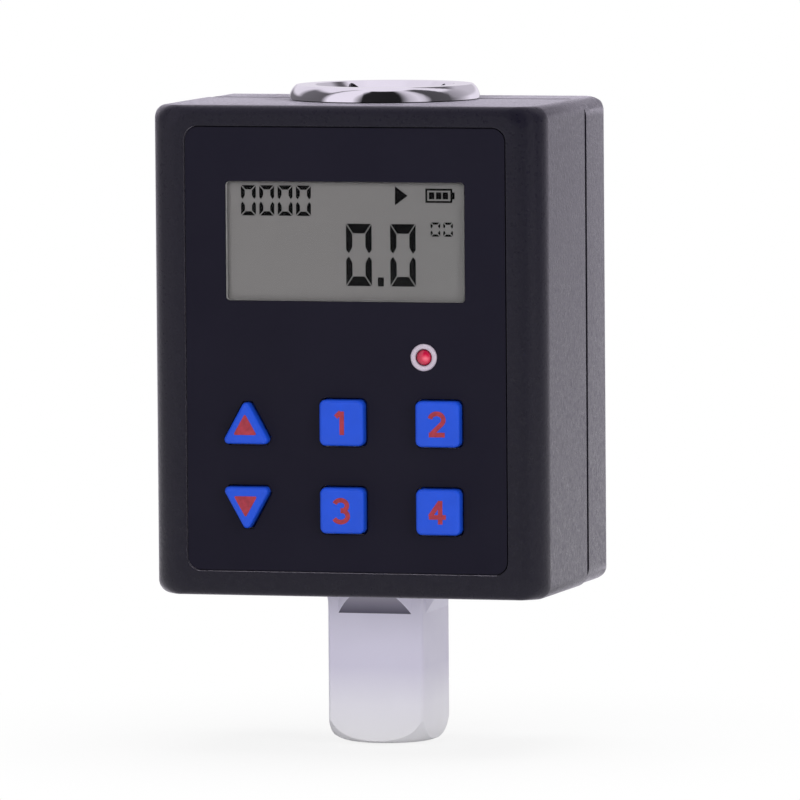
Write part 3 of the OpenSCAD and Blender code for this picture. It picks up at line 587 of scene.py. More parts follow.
def turned(profile: np.ndarray, centre: Sequence[float], axis: Axis, sides: int = 48,
           hoop: bool = False) -> Skin:
    """Turns a profile round an axis: radius times cosine and sine across it, height along it.

    Args:
        profile: Radius and height of each ring; open ends close on small flats.
        centre: Point on the axis from which the heights count.
        axis: Y, or else Z.
        sides: Points round each ring.
        hoop: Whether the profile runs round and joins its start.

    Returns:
        The closed skin.
    """
    angle = np.linspace(0, 2 * np.pi, sides, endpoint=False)
    across = profile[:, :1] * np.cos(angle)
    over = profile[:, :1] * np.sin(angle)
    along = np.repeat(profile[:, 1:], sides, 1)
    order = [across, along, over] if axis is Axis.Y else [across, over, along]
    return loft(np.stack(order, -1) + np.asarray(centre), hoop)


def tube(path: np.ndarray, radius: float, up: Sequence[float], sides: int = 12) -> Skin:
    """A round wire along a path that never runs along `up`.

    Args:
        path: Points of the centre line.
        radius: Radius of the wire.
        up: Direction that fixes the rings' turn.
        sides: Points round the wire.

    Returns:
        The closed skin.
    """
    ahead = np.gradient(path, axis=0)
    ahead /= np.linalg.norm(ahead, axis=1, keepdims=True)
    across = np.cross(ahead, np.asarray(up, float))
    across /= np.linalg.norm(across, axis=1, keepdims=True)
    over = np.cross(across, ahead)
    angle = np.linspace(0, 2 * np.pi, sides, endpoint=False)[:, None]
    spokes = np.cos(angle) * across[:, None] + np.sin(angle) * over[:, None]
    return loft(path[:, None] + radius * spokes)


def coil(foot: float, tip: float, height: float, turns: float) -> np.ndarray:
    """Centre line of a coil along Z: the angle, radius and height all grow evenly along it.

    Args:
        foot: Radius at its start.
        tip: Radius at its end.
        height: Its length along Z.
        turns: How many turns it makes.

    Returns:
        The points, 36 to a turn.
    """
    share = np.linspace(0, 1, int(36 * turns) + 1)
    angle = 2 * np.pi * turns * share
    radius = foot + (tip - foot) * share
    return np.stack([radius * np.cos(angle), radius * np.sin(angle), height * share], -1)


def stroke(path: np.ndarray, width: float, back: float, front: float) -> Skin:
    """A flat pen stroke with depth: half the width to each side of a path, square to it.

    Args:
        path: Points in X and Z.
        width: Width of the pen.
        back: Where its depth starts in Y.
        front: Where its depth ends in Y.

    Returns:
        The closed skin.
    """
    ahead = np.gradient(path, axis=0)
    ahead /= np.linalg.norm(ahead, axis=1, keepdims=True)
    side = np.stack([-ahead[:, 1], ahead[:, 0]], -1) * width / 2
    left, right = path + side, path - side
    return loft(np.stack([at(left, back), at(left, front), at(right, front), at(right, back)], 1))


def arc(x: float, z: float, rx: float, rz: float, start: float, end: float) -> np.ndarray:
    """Points along part of an ellipse, its angles in degrees from +X towards +Z."""
    angle = np.radians(np.linspace(start, end, 19))
    return np.stack([x + rx * np.cos(angle), z + rz * np.sin(angle)], -1)


# Pieces


def show(obj: bpy.types.Object) -> None:
    """Links an object to the scene."""
    bpy.context.scene.collection.objects.link(obj)


def smooth(mesh: bpy.types.Mesh, crease: float) -> None:
    """Shades a mesh smooth, except where its faces meet sharply.

    Args:
        mesh: The mesh.
        crease: Angle in degrees above which an edge stays sharp.
    """
    mesh.polygons.foreach_set("use_smooth", np.ones(len(mesh.polygons), bool))
    mesh.set_sharp_from_angle(angle=math.radians(crease))
    mesh.update()


def face_outwards(source: bpy.types.Mesh, target: bpy.types.Mesh, weld: bool) -> None:
    """Copies a mesh with its faces turned outwards.

    Args:
        source: The mesh to copy.
        target: The mesh that takes it, which may be the same.
        weld: Whether loose triangles are merged first.
    """
    work = bmesh.new()
    work.from_mesh(source)
    if weld:
        bmesh.ops.remove_doubles(work, verts=work.verts, dist=WELD_M)
    bmesh.ops.recalc_face_normals(work, faces=work.faces)
    work.to_mesh(target)
    work.free()


def skin_mesh(name: str, skin: Skin) -> bpy.types.Mesh:
    """Makes a mesh from a skin, its faces turned outwards.

    Args:
        name: Name of the mesh.
        skin: Its points, in millimetres, and faces.

    Returns:
        The mesh, in metres.
    """
    mesh = bpy.data.meshes.new(name)
    mesh.from_pydata((skin.points * MM).tolist(), [], skin.faces)
    face_outwards(mesh, mesh, weld=False)
    return mesh


def merged_copy(node: bpy.types.Object, name: str) -> bpy.types.Object:
    """Copies a CAD node with its loose triangles merged; the node itself stays as it is.

    Args:
        node: The node's object.
        name: Name of the copy.

    Returns:
        The copy, not yet linked.
    """
    mesh = bpy.data.meshes.new(name)
    face_outwards(node.data, mesh, weld=True)
    stale = mesh.attributes.get("custom_normal")
    if stale is not None:
        mesh.attributes.remove(stale)
    return bpy.data.objects.new(name, mesh)


def face_values(mesh: bpy.types.Mesh, what: str) -> np.ndarray:
    """Reads a vector of every face.

    Args:
        mesh: The mesh.
        what: "center" or "normal".

    Returns:
        One row of X, Y and Z for each face.
    """
    values = np.empty(3 * len(mesh.polygons))
    mesh.polygons.foreach_get(what, values)
    return values.reshape(-1, 3)


@dataclass
class Assembly:
    """A sub-assembly of the adapter."""

    frame: dict[str, Any]

    def node(self, name: str) -> bpy.types.Object:
        """Returns a CAD node's object."""
        return self.frame["nodes"][name]

    def body(self, name: str) -> str:
        """Returns the name of the body that a CAD node rides on."""
        holder = self.node(name).parent
        return next(body for body, empty in self.frame["bodies"].items() if empty == holder)

    def centre(self, name: str) -> np.ndarray:
        """Returns the middle of a node's box, in millimetres."""
        low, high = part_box(name)
        return np.array((low + high) / 2) / MM

    def tie(self, obj: bpy.types.Object, slot: str, stands_in: bool = True) -> bpy.types.Object:
        """Links a finished piece and ties it to the frame.

        Args:
            obj: The piece, its place in its mesh.
            slot: CAD node whose body it rides on.
            stands_in: Whether it also takes that node's place.

        Returns:
            The piece.
        """
        body = self.body(slot)
        show(obj)
        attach(obj, body)
        if stands_in:
            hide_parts(slot)
        LOG.info("%s: %d faces on %s", obj.name, len(obj.data.polygons), body)
        return obj

    def make(self, name: str, skin: Skin, finish: Finish, slot: str, stands_in: bool = True,
             crease: float = 35.0) -> bpy.types.Object:
        """Makes a piece from a skin.

        Args:
            name: Name of the piece.
            skin: Its points and faces.
            finish: What it is made of.
            slot: CAD node that it belongs to.
            stands_in: Whether it takes that node's place.
            crease: Angle in degrees above which an edge stays sharp.

        Returns:
            The piece.
        """
        mesh = skin_mesh(name, skin)
        smooth(mesh, crease)
        mesh.materials.append(finish.build())
        return self.tie(bpy.data.objects.new(name, mesh), slot, stands_in)

    def dress(self, finishes: dict[str, Finish], crease: float = 25.0) -> None:
        """Stands merged, smooth-shaded copies in for CAD nodes.

        Args:
            finishes: The nodes, and what each is made of.
            crease: Angle in degrees above which an edge stays sharp.
        """
        for name, finish in finishes.items():
            piece = merged_copy(self.node(name), name + "_piece")
            piece.data.materials.append(finish.build())
            smooth(piece.data, crease)
            self.tie(piece, name)


@dataclass
class Shaft(Assembly):
    """Steel shaft with its chromed flange, detent and gauges."""

    flange_foot: float = 124.0
    socket_foot: float = 100.0
    socket_r: float = 13.9
    runout: tuple[float, float] = (25.2, 30.0)
    runout_tilt: tuple[float, float] = (0.3, 0.6)
    detent_foot: Point = (0.0, 0.425, 11.0)
    coil_r: float = 2.4
    coil_l: float = 2.5
    coil_turns: float = 3
    wire_r: float = 0.3

    def bar(self) -> None:
        """Makes the shaft: its chromed faces told by their place, and its front and rear run-outs,
        told by place and slope, in a darker copy of the steel that is painted shade.
        """
        shaft = merged_copy(self.node("torque_shaft"), "torque_shaft_piece")
        for finish in (Finishes.STEEL, Finishes.CHROME, Finishes.RUNOUT_SHADE):
            shaft.data.materials.append(finish.build())
        x, y, z = face_values(shaft.data, "center").T / MM
        facing_x, facing_y, tilt = np.abs(face_values(shaft.data, "normal")).T
        socket = (z > self.socket_foot) & (np.hypot(x, y) < self.socket_r)
        bright = (z > self.flange_foot) | socket
        # Front and rear run-outs take the darker copy of the steel, painted shade; those at the
        # sides keep the steel
        runout_shade = (facing_y > facing_x) & (z > self.runout[0]) & (z < self.runout[1])
        runout_shade &= (tilt > self.runout_tilt[0]) & (tilt < self.runout_tilt[1])
        shaft.data.polygons.foreach_set("material_index", (bright + 2 * runout_shade).astype(np.int32))
        smooth(shaft.data, crease=20)
        self.tie(shaft, "torque_shaft")

    def build(self) -> None:
        """Makes the shaft and what it carries."""
        self.bar()
        self.dress({"detent_ball": Finishes.BALL}, crease=60)
        path = coil(self.coil_r, self.coil_r, self.coil_l, self.coil_turns)[:, [0, 2, 1]]
        spring = tube(path + np.array(self.detent_foot), self.wire_r, (0, 1, 0))
        self.make("detent_spring_wire", spring, Finishes.SPRING, "detent_spring")
        self.dress({"strain_gauges": Finishes.GAUGE}, crease=30)
        self.dress({"gauge_leads": Finishes.LEAD_RED}, crease=50)
        self.dress({"neck_seal": Finishes.RUBBER}, crease=60)
        self.dress({"flange_gasket": Finishes.RUBBER}, crease=30)


@dataclass
class Housing(Assembly):
    """The two moulded shells with their gasket, panel, door and screws."""

    front: float = -28.5
    seam: float = 3.5
    width: float = 78.0
    height: float = 94.0
    foot: float = 30.0
    side_round: float = 5.5
    rim_round: float = 1.8
    corner_back: float = 2.2
    corner_front: float = 4.4
    margin: float = 0.02
    crease: float = 30.0

    def drawn_in(self, radius: float, depth: np.ndarray) -> np.ndarray:
        """How far an edge that is rounded by radius has drawn in, at each depth from the front."""
        return radius - np.sqrt(np.maximum(0, radius**2 - np.maximum(0, radius - depth) ** 2))

    def envelope(self) -> Skin:
        """Outer form of the front shell, its outline's corners growing rounder to the front.

        At each depth the sides draw in along the upright edges' arc, and the top and bottom along
        the rim's smaller arc.

        Returns:
            A closed skin a little outside the shell, except at the corners.
        """
        turn = np.radians(np.linspace(0, 90, 25))
        depth = np.append(self.side_round * (1 - np.cos(turn)), self.seam - self.front + 1)
        side = self.drawn_in(self.side_round, depth)
        rim = self.drawn_in(self.rim_round, depth)
        near = np.clip(1 - depth / self.side_round, 0, 1)
        corner = self.corner_back + (self.corner_front - self.corner_back) * near
        middle = self.foot + self.height / 2
        rings = []
        for d, s, r, c in zip(depth, side, rim, corner):
            shape = round_box(self.width + 2 * (self.margin - s),
                              self.height + 2 * (self.margin - r), c, steps=12)
            rings.append(at(shape, self.front - self.margin + d, 0, middle))
        return loft(rings)

    def front_shell(self) -> None:
        """Makes the front shell: its CAD form, cut to the envelope's rounder corners."""
        shell = merged_copy(self.node("front_shell"), "front_shell_piece")
        name = "front_shell_envelope"
        cutter = bpy.data.objects.new(name, skin_mesh(name, self.envelope()))
        show(shell)
        show(cutter)
        trim = shell.modifiers.new("corners", "BOOLEAN")
        trim.operation, trim.solver, trim.object = "INTERSECT", "EXACT", cutter
        bpy.context.view_layer.update()
        graph = bpy.context.evaluated_depsgraph_get()
        cut = bpy.data.meshes.new_from_object(shell.evaluated_get(graph))
        shell.modifiers.clear()
        shell.data = cut
        cut.materials.clear()
        cut.materials.append(Finishes.SHELL.build())
        bpy.data.objects.remove(cutter)
        bpy.context.scene.collection.objects.unlink(shell)
        smooth(cut, self.crease)
        self.tie(shell, "front_shell")

    def build(self) -> None:
        """Makes the shells and everything that closes them."""
        self.front_shell()
        self.dress({
            "rear_shell": Finishes.SHELL, "shell_gasket": Finishes.RUBBER,
            "front_panel": Finishes.PANEL, "case_screws": Finishes.BLACK_SCREW,
            "battery_door": Finishes.SHELL, "door_screws": Finishes.BLACK_SCREW}, self.crease)


@dataclass
class Display(Assembly):
    """Window, glass and the segments that it shows."""

    face: float = -28.3
    lip: float = -27.3
    back: float = -26.85
    view_w: float = 47.3
    view_h: float = 22.7
    lip_w: float = 53.0
    lip_h: float = 30.0
    corner: float = 0.7
    edge: float = 0.12
    wall_tilt: float = 0.3
    ink_back: float = -26.72
    ink_front: float = -26.78
    gap: float = 0.16
    # Each nought's left, bottom, right and top, and the thickness of its level and upright segments
    noughts: tuple[tuple[float, ...], ...] = (
        *((-21.01 + 3.653 * i, 102.9, -18.07 + 3.653 * i, 108.69, 0.8, 0.76) for i in range(4)),
        (-0.17, 89.6, 4.89, 101.5, 1.83, 1.23), (8.59, 89.6, 13.61, 101.5, 1.83, 1.23),
        (16.6, 99.18, 18.5, 101.88, 0.42, 0.42), (19.1, 99.18, 21.0, 101.88, 0.42, 0.42))
    # Shares of an upright segment's thickness at its pointed end: the gap before the point, how far
    # the point stands out past each side, and how far across it lies
    point_gap: float = 0.12
    point_inner: float = 0.98
    point_outer: float = 0.57
    point_across: float = 0.44
    dot: tuple[float, ...] = (6.09, 89.58, 7.27, 91.3)
    triangle: tuple[tuple[float, float], ...] = ((9.6, 105.1), (12.1, 106.9), (9.6, 108.7))
    charge: tuple[float, ...] = (15.61, 105.61, 20.92, 108.31)
    charge_line: float = 0.36
    charge_nub: float = 0.46
    charge_bars: tuple[float, ...] = (16.32, 17.72, 19.02)
    charge_bar_w: float = 1.05
    charge_bar_h: float = 1.3

    def window(self) -> None:
        """Makes the clear window: a raised field with a small edge rounding, on a wider lip."""
        z0 = self.centre("lcd_glass")[2]
        steps = [(self.lip_w, self.lip_h, self.back), (self.lip_w, self.lip_h, self.lip),
                 (self.view_w, self.view_h, self.lip),
                 (self.view_w, self.view_h, self.face + self.edge),
                 (self.view_w - 2 * self.edge, self.view_h - 2 * self.edge, self.face)]
        rings = [at(round_box(w, h, self.corner), y, 0, z0) for w, h, y in steps]
        window = self.make("display_window_piece", loft(rings), Finishes.WINDOW, "display_window")
        # Upright walls take the pale edge colour, a painted reflection of the display glass
        window.data.materials.append(Finishes.WINDOW_EDGE.build())
        wall = np.abs(face_values(window.data, "normal")[:, 1]) < self.wall_tilt
        window.data.polygons.foreach_set("material_index", wall.astype(np.int32))

    def bar(self, corners: Sequence[tuple[float, float]]) -> Skin:
        """Makes one segment from its corners."""
        return prism(np.array(corners), self.ink_back, self.ink_front)

    def block(self, x0: float, z0: float, x1: float, z1: float) -> Skin:
        """Makes a rectangular segment from its left, bottom, right and top."""
        return self.bar([(x0, z0), (x1, z0), (x1, z1), (x0, z1)])

    def nought(self, x0: float, z0: float, x1: float, z1: float, across: float,
               upright: float) -> list[Skin]:
        """Makes the six segments of a nought, mitred at its corners and pointed at half height.

        Args:
            x0: Left side.
            z0: Bottom.
            x1: Right side.
            z1: Top.
            across: Thickness of the level segments.
            upright: Thickness of the upright segments.

        Returns:
            The segments.
        """
        g, mid = self.gap, (z0 + z1) / 2
        tip = g + upright * self.point_gap
        bars = []
        for outer, inner in ((z1, z1 - across), (z0, z0 + across)):
            bars.append(self.bar([(x0 + g, outer), (x1 - g, outer), (x1 - upright - g, inner),
                                  (x0 + upright + g, inner)]))
        for outer, inner in ((x0, x0 + upright), (x1, x1 - upright)):
            for end, level, s in ((z1, z1 - across, -1), (z0, z0 + across, 1)):
                bars.append(self.bar([
                    (outer, end + s * g), (inner, level + s * g),
                    (inner, mid - s * (tip + upright * self.point_inner)),
                    (outer + (inner - outer) * self.point_across, mid - s * tip),
                    (outer, mid - s * (tip + upright * self.point_outer))]))
        return bars

    def battery(self) -> list[Skin]:
        """Makes the charge symbol: an outline with a nub and three bars.

        Returns:
            Its segments.
        """
        x0, z0, x1, z1 = self.charge
        line, low = self.charge_line, (z0 + z1 - self.charge_bar_h) / 2
        high = low + self.charge_bar_h
        blocks = [(x0, z, x1, z + line) for z in (z0, z1 - line)]
        blocks += [(x, z0 + line, x + line, z1 - line) for x in (x0, x1 - line)]
        blocks.append((x1, low, x1 + self.charge_nub, high))
        blocks += [(x, low, x + self.charge_bar_w, high) for x in self.charge_bars]
        return [self.block(*block) for block in blocks]

    def build(self) -> None:
        """Makes the display and what lights and feeds it."""
        parts = [bar for box in self.noughts for bar in self.nought(*box)]
        parts += [self.block(*self.dot), self.bar(self.triangle), *self.battery()]
        self.make("display_segments", joined(parts), Finishes.SEGMENT, "lcd_glass",
                  stands_in=False)
        self.dress({"lcd_glass": Finishes.GLASS})
        self.window()
        self.dress({"lcd_backlight": Finishes.DIFFUSER, "lcd_contact_strips": Finishes.STRIP})


@dataclass
class Keypad(Assembly):
    """Six key caps with their printed legends, and the switches behind them."""

    face: float = -30.27
    ink: float = -30.3
    ink_depth: float = 0.01
    layer: float = 0.004
    foot: float = -25.4
    flange: float = 0.8
    flange_w: float = 10.8
    flange_corner: float = 0.6
    flange_edge: float = 0.15
    side: float = 8.8
    corner: float = 1.2
    least_corner: float = 0.05
    arrow_w: float = 8.7
    arrow_h: float = 7.95
    arrow_drop: float = 0.325
    arrow_corner: float = 0.85
    bevel: float = 0.75
    stem_end: float = 0.6
    dome: float = 0.05
    dome_rings: tuple[float, ...] = (0.7, 0.35, 0.05)
    pen: float = 0.9
    legend: tuple[float, float] = (3.5, 4.5)
    # An arrowhead's half width and half height, and how far it is shifted along X and to its foot
    arrowhead: tuple[float, float] = (1.95, 1.7)
    arrowhead_corner: float = 0.22
    arrowhead_shift: tuple[float, float] = (-0.05, 0.6)
    # Which way each triangular key points, and the number that each square key carries
    arrows: dict[str, int] = field(default_factory=lambda: {"key_up": 1, "key_down": -1})
    numbers: dict[str, int] = field(default_factory=lambda: {
        "key_track": 1, "key_memory": 2, "key_unit": 3, "key_clear": 4})

    def core(self, node: str) -> np.ndarray:
        """Corners of a key's outline, drawn in by its corner radius.

        Args:
            node: The key.

        Returns:
            Corners round the key's centre, anticlockwise.
        """
        if node in self.numbers:
            side = 2 * (self.side / 2 - self.corner)
            return box_core(side, side)
        half = self.arrow_w / 2 - self.arrow_corner
        low = -self.arrow_h / 2 - self.arrow_drop + self.arrow_corner
        high = self.arrow_h / 2 - self.arrow_drop - self.arrow_corner
        way = self.arrows[node]
        return (np.array([[-half, low], [half, low], [0.0, high]]) * [1, way])[::way]

    def cap(self, node: str) -> Skin:
        """Makes a cap: a straight stem, a rounded edge and a barely domed face, with its flange.

        Along the edge the outline draws in by the bevel times one less the cosine, and comes
        forward by the bevel times the sine.

        Args:
            node: The key.

        Returns:
            Two closed skins, the cap's and the flange's.
        """
        x0, _, z0 = self.centre(node)
        corner = self.corner if node in self.numbers else self.arrow_corner
        core = self.core(node)
        turn = np.radians(np.linspace(0, 90, 9))
        rim = self.face + self.dome
        inset = np.concatenate([[0, 0], self.bevel * (1 - np.cos(turn))])
        depth = np.concatenate([[self.foot, rim + self.bevel + self.stem_end],
                                rim + self.bevel * (1 - np.sin(turn))])
        rings = [at(rounded(core, max(corner - i, self.least_corner)), y, x0, z0)
                 for i, y in zip(inset, depth)]
        middle = core.mean(0)
        for share in self.dome_rings:
            inner = middle + (core - middle) * share
            radius = max(corner - self.bevel, self.least_corner) * share
            rings.append(at(rounded(inner, radius), self.face + self.dome * share**2, x0, z0))
        edge, top = self.flange_edge, self.foot + self.flange
        steps = ((edge, top), (0, top - edge), (0, self.foot + edge), (edge, self.foot))
        flange = [at(round_box(self.flange_w - 2 * c, self.flange_w - 2 * c, self.flange_corner),
                     y, x0, z0) for c, y in steps]
        return loft(rings) + loft(flange)

    def digit(self, number: int) -> list[np.ndarray]:
        """Pen paths of a plain digit in a box one wide and one high.

        Args:
            number: 1, 2, 3 or 4.

        Returns:
            The paths.
        """
        bow = arc(0.5, 0.7, 0.38, 0.26, 170, -35)
        paths = {
            1: ([[0.22, 0.76], [0.5, 0.97]], [[0.56, 0.0], [0.56, 1.0]]),
            2: ([*bow, [0.14, 0.05]], [[0.05, 0.06], [0.95, 0.06]]),
            3: (arc(0.46, 0.73, 0.36, 0.23, 160, -90), arc(0.46, 0.28, 0.4, 0.25, 90, -155)),
            4: ([[0.66, 0.0], [0.66, 1.0]], [[0.66, 0.95], [0.08, 0.32]],
                [[0.02, 0.3], [0.98, 0.3]])}
        return [np.array(path) for path in paths[number]]

    def mark(self, node: str) -> Skin:
        """Makes a key's legend: an arrowhead, or a digit whose strokes lie on one another.

        Args:
            node: The key.

        Returns:
            The printed skin.
        """
        x0, _, z0 = self.centre(node)
        back = self.face + self.ink_depth
        if node in self.arrows:
            way = self.arrows[node]
            (half, rise), (right, drop) = self.arrowhead, self.arrowhead_shift
            core = np.array([[-half, -rise * way], [half, -rise * way], [0, rise * way]])[::way]
            shape = rounded(core, self.arrowhead_corner) + [x0 + right, z0 - drop * way]
            return prism(shape, back, self.ink)
        paths = [(path - 0.5) * self.legend + [x0, z0] for path in self.digit(self.numbers[node])]
        return joined([stroke(path, self.pen, back + self.layer * i, self.ink + self.layer * i)
                       for i, path in enumerate(paths)])

    def build(self) -> None:
        """Makes all the keys."""
        for node in (*self.arrows, *self.numbers):
            self.make(node + "_piece", self.cap(node), Finishes.KEY, node, crease=40)
            self.make(node + "_legend", self.mark(node), Finishes.KEY_INK, node, stands_in=False)
        self.dress({"key_switches": Finishes.SWITCH})


@dataclass
class Lamp(Assembly):
    """Status lamp and its ring."""

    top: float = -28.8
    radius: float = 1.5
    dome_foot: float = 0.75
    dome_h: float = 0.72
    rim_r: float = 2.1
    rim: tuple[float, float] = (3.3, 4.3)
    point_r: float = 0.05
    hole: float = 1.6
    ring_r: float = 2.6
    sleeve_r: float = 2.0
    panel: float = -28.3
    lip_h: float = 0.5
    floor: float = -25.7
    board: float = -20.2
    lead_r: float = 0.25
    lead_l: float = 3.42
    lead_edge: float = 0.02
    lead_x: float = 1.27

    def ring(self, x0: float, z0: float) -> Skin:
        """A sleeve whose lip is rolled over the panel in half an ellipse.

        Args:
            x0: The lamp's axis in X.
            z0: The lamp's axis in Z.

        Returns:
            The closed skin.
        """
        turn = np.radians(np.linspace(0, 180, 17))
        middle, half = (self.hole + self.ring_r) / 2, (self.ring_r - self.hole) / 2
        lip = np.stack([middle + half * np.cos(turn), self.panel - self.lip_h * np.sin(turn)], -1)
        sleeve = [[self.hole, self.floor], [self.sleeve_r, self.floor], [self.sleeve_r, self.panel]]
        return turned(np.concatenate([sleeve, lip]), (x0, 0, z0), Axis.Y, sides=64, hoop=True)

    def lens(self, x0: float, z0: float) -> Skin:
        """A rim behind, a straight stem and a dome that is part of an ellipse.

        Args:
            x0: The lamp's axis in X.
            z0: The lamp's axis in Z.

        Returns:
            The closed skin.
        """
        bow = np.radians(np.linspace(0, 89, 15))
        dome = np.stack([self.radius * np.cos(bow), -self.dome_h * np.sin(bow)], -1)
        front, back = self.rim
        stem = [[self.point_r, back], [self.rim_r, back], [self.rim_r, front], [self.radius, front]]
        return turned(np.concatenate([stem, dome]), (x0, self.top + self.dome_foot, z0), Axis.Y)

    def build(self) -> None:
        """Makes the ring, and the domed lamp with its two leads."""
        x0, _, z0 = self.centre("status_led")
        self.make("led_ring_piece", self.ring(x0, z0), Finishes.RING, "led_ring", crease=50)
        self.make("status_led_lens", self.lens(x0, z0), Finishes.LAMP, "status_led", crease=50)
        edge, length = self.lead_edge, self.lead_l
        lead = np.array([[edge, 0], [self.lead_r, edge], [self.lead_r, length - edge],
                         [edge, length]])
        leads = [turned(lead, (x0 + s * self.lead_x, self.board - length, z0), Axis.Y, sides=16)
                 for s in (-1, 1)]
        self.make("status_led_leads", joined(leads), Finishes.NICKEL, "status_led",
                  stands_in=False)


@dataclass
class Electronics(Assembly):
    """Circuit board and what is soldered to it."""

    def build(self) -> None:
        """Dresses the board's nodes."""
        self.dress({
            "main_board": Finishes.BOARD, "board_screws": Finishes.NICKEL,
            "board_chips": Finishes.CHIP, "radio_module": Finishes.RADIO,
            "buzzer": Finishes.BUZZER})


@dataclass
class Power(Assembly):
    """Battery cells with their contacts, springs and leads."""

    cells: tuple[float, float] = (17.55, 28.35)
    y: float = 11.9
    foot: float = 41.2
    top: float = 92.2
    contact: float = 0.4
    cell_r: float = 5.25
    cell_l: float = 44.5
    nub_r: float = 1.9
    nub_h: float = 1.0
    spring_foot: float = 3.6
    spring_tip: float = 2.4
    spring_l: float = 4.9
    spring_turns: float = 4
    wire_r: float = 0.4

    def cell(self, x: float, up: bool) -> Skin:
        """Makes a cell: a crimped can with its sleeve's rolled edges and its nub.

        Args:
            x: Its axis in X.
            up: Whether its nub points up.

        Returns:
            The closed skin.
        """
        r, nub, end = self.cell_r, self.nub_r, self.cell_l - self.nub_h
        foot = [[0.05, 0.15], [4.2, 0.15], [4.5, 0.0], [4.95, 0.0], [r, 0.3]]
        shoulder = [[r, end - 0.35], [r - 0.3, end], [4.3, end], [4.1, end - 0.2], [2.3, end - 0.2]]
        tip = [[nub, end], [nub, end + 0.75], [nub - 0.25, end + 1], [0.05, end + 1]]
        profile = np.array(foot + shoulder + tip)
        if up:
            return turned(profile, (x, self.y, self.top - self.contact - self.cell_l), Axis.Z)
        start = self.foot + self.contact + self.cell_l
        return turned(profile * [1, -1], (x, self.y, start), Axis.Z)

    def spring(self, x: float, up: bool) -> Skin:
        """Makes a conical contact spring.

        Args:
            x: Its axis in X.
            up: Whether it stands on the bay's foot and its tip points up.

        Returns:
            The closed skin.
        """
        path = coil(self.spring_foot, self.spring_tip, self.spring_l, self.spring_turns)
        seat = self.contact + self.wire_r
        start = self.foot + seat if up else self.top - seat
        return tube(path * [1, 1, 1 if up else -1] + [x, self.y, start], self.wire_r, (0, 0, 1))

    def build(self) -> None:
        """Makes the cells and springs, and dresses the contacts and leads."""
        left, right = self.cells
        for node, finish, form in (("battery_cells", Finishes.CELL, self.cell),
                                   ("battery_springs", Finishes.SPRING, self.spring)):
            self.make(node + "_piece", form(left, True) + form(right, False), finish, node)
        self.dress({"battery_contacts": Finishes.NICKEL})
        self.dress({"battery_leads": Finishes.LEAD_DARK}, crease=50)


# Studio


@dataclass
class Camera:
    """Long lens whose place was found from edges measured on the photograph."""

    target: Point = (0.0, -0.0045, 0.077)
    azimuth: float = 16.1
    elevation: float = 4.0
    distance: float = 2.162
    aim_azimuth: float = 16.03
    aim_elevation: float = 4.33
    roll: float = -0.43
    lens: float = 505.0
    sensor: float = 36.0
    shift: tuple[float, float] = (0.0072, 0.0104)
    clip: tuple[float, float] = (0.1, 50.0)

    def direction(self, azimuth: float, elevation: float) -> Vector:
        """Unit vector from the object towards an azimuth and elevation in degrees."""
        a, e = math.radians(azimuth), math.radians(elevation)
        return Vector((math.sin(a) * math.cos(e), -math.cos(a) * math.cos(e), math.sin(e)))

    def build(self) -> None:
        """Makes the camera and hands it to the scene."""
        back = self.direction(self.aim_azimuth, self.aim_elevation)
        turn, roll = math.radians(self.aim_azimuth), math.radians(self.roll)
        side = Vector((math.cos(turn), math.sin(turn), 0))
        up = back.cross(side)
        right = side * math.cos(roll) + up * math.sin(roll)
        top = up * math.cos(roll) - side * math.sin(roll)
        data = bpy.data.cameras.new("Camera")
        data.lens, data.sensor_width = self.lens, self.sensor
        data.shift_x, data.shift_y = self.shift
        data.clip_start, data.clip_end = self.clip
        camera = bpy.data.objects.new("Camera", data)
        spot = Vector(self.target) + self.direction(self.azimuth, self.elevation) * self.distance
        camera.matrix_world = Matrix((
            (right.x, top.x, back.x, spot.x), (right.y, top.y, back.y, spot.y),
            (right.z, top.z, back.z, spot.z), (0, 0, 0, 1)))
        show(camera)
        bpy.context.scene.camera = camera


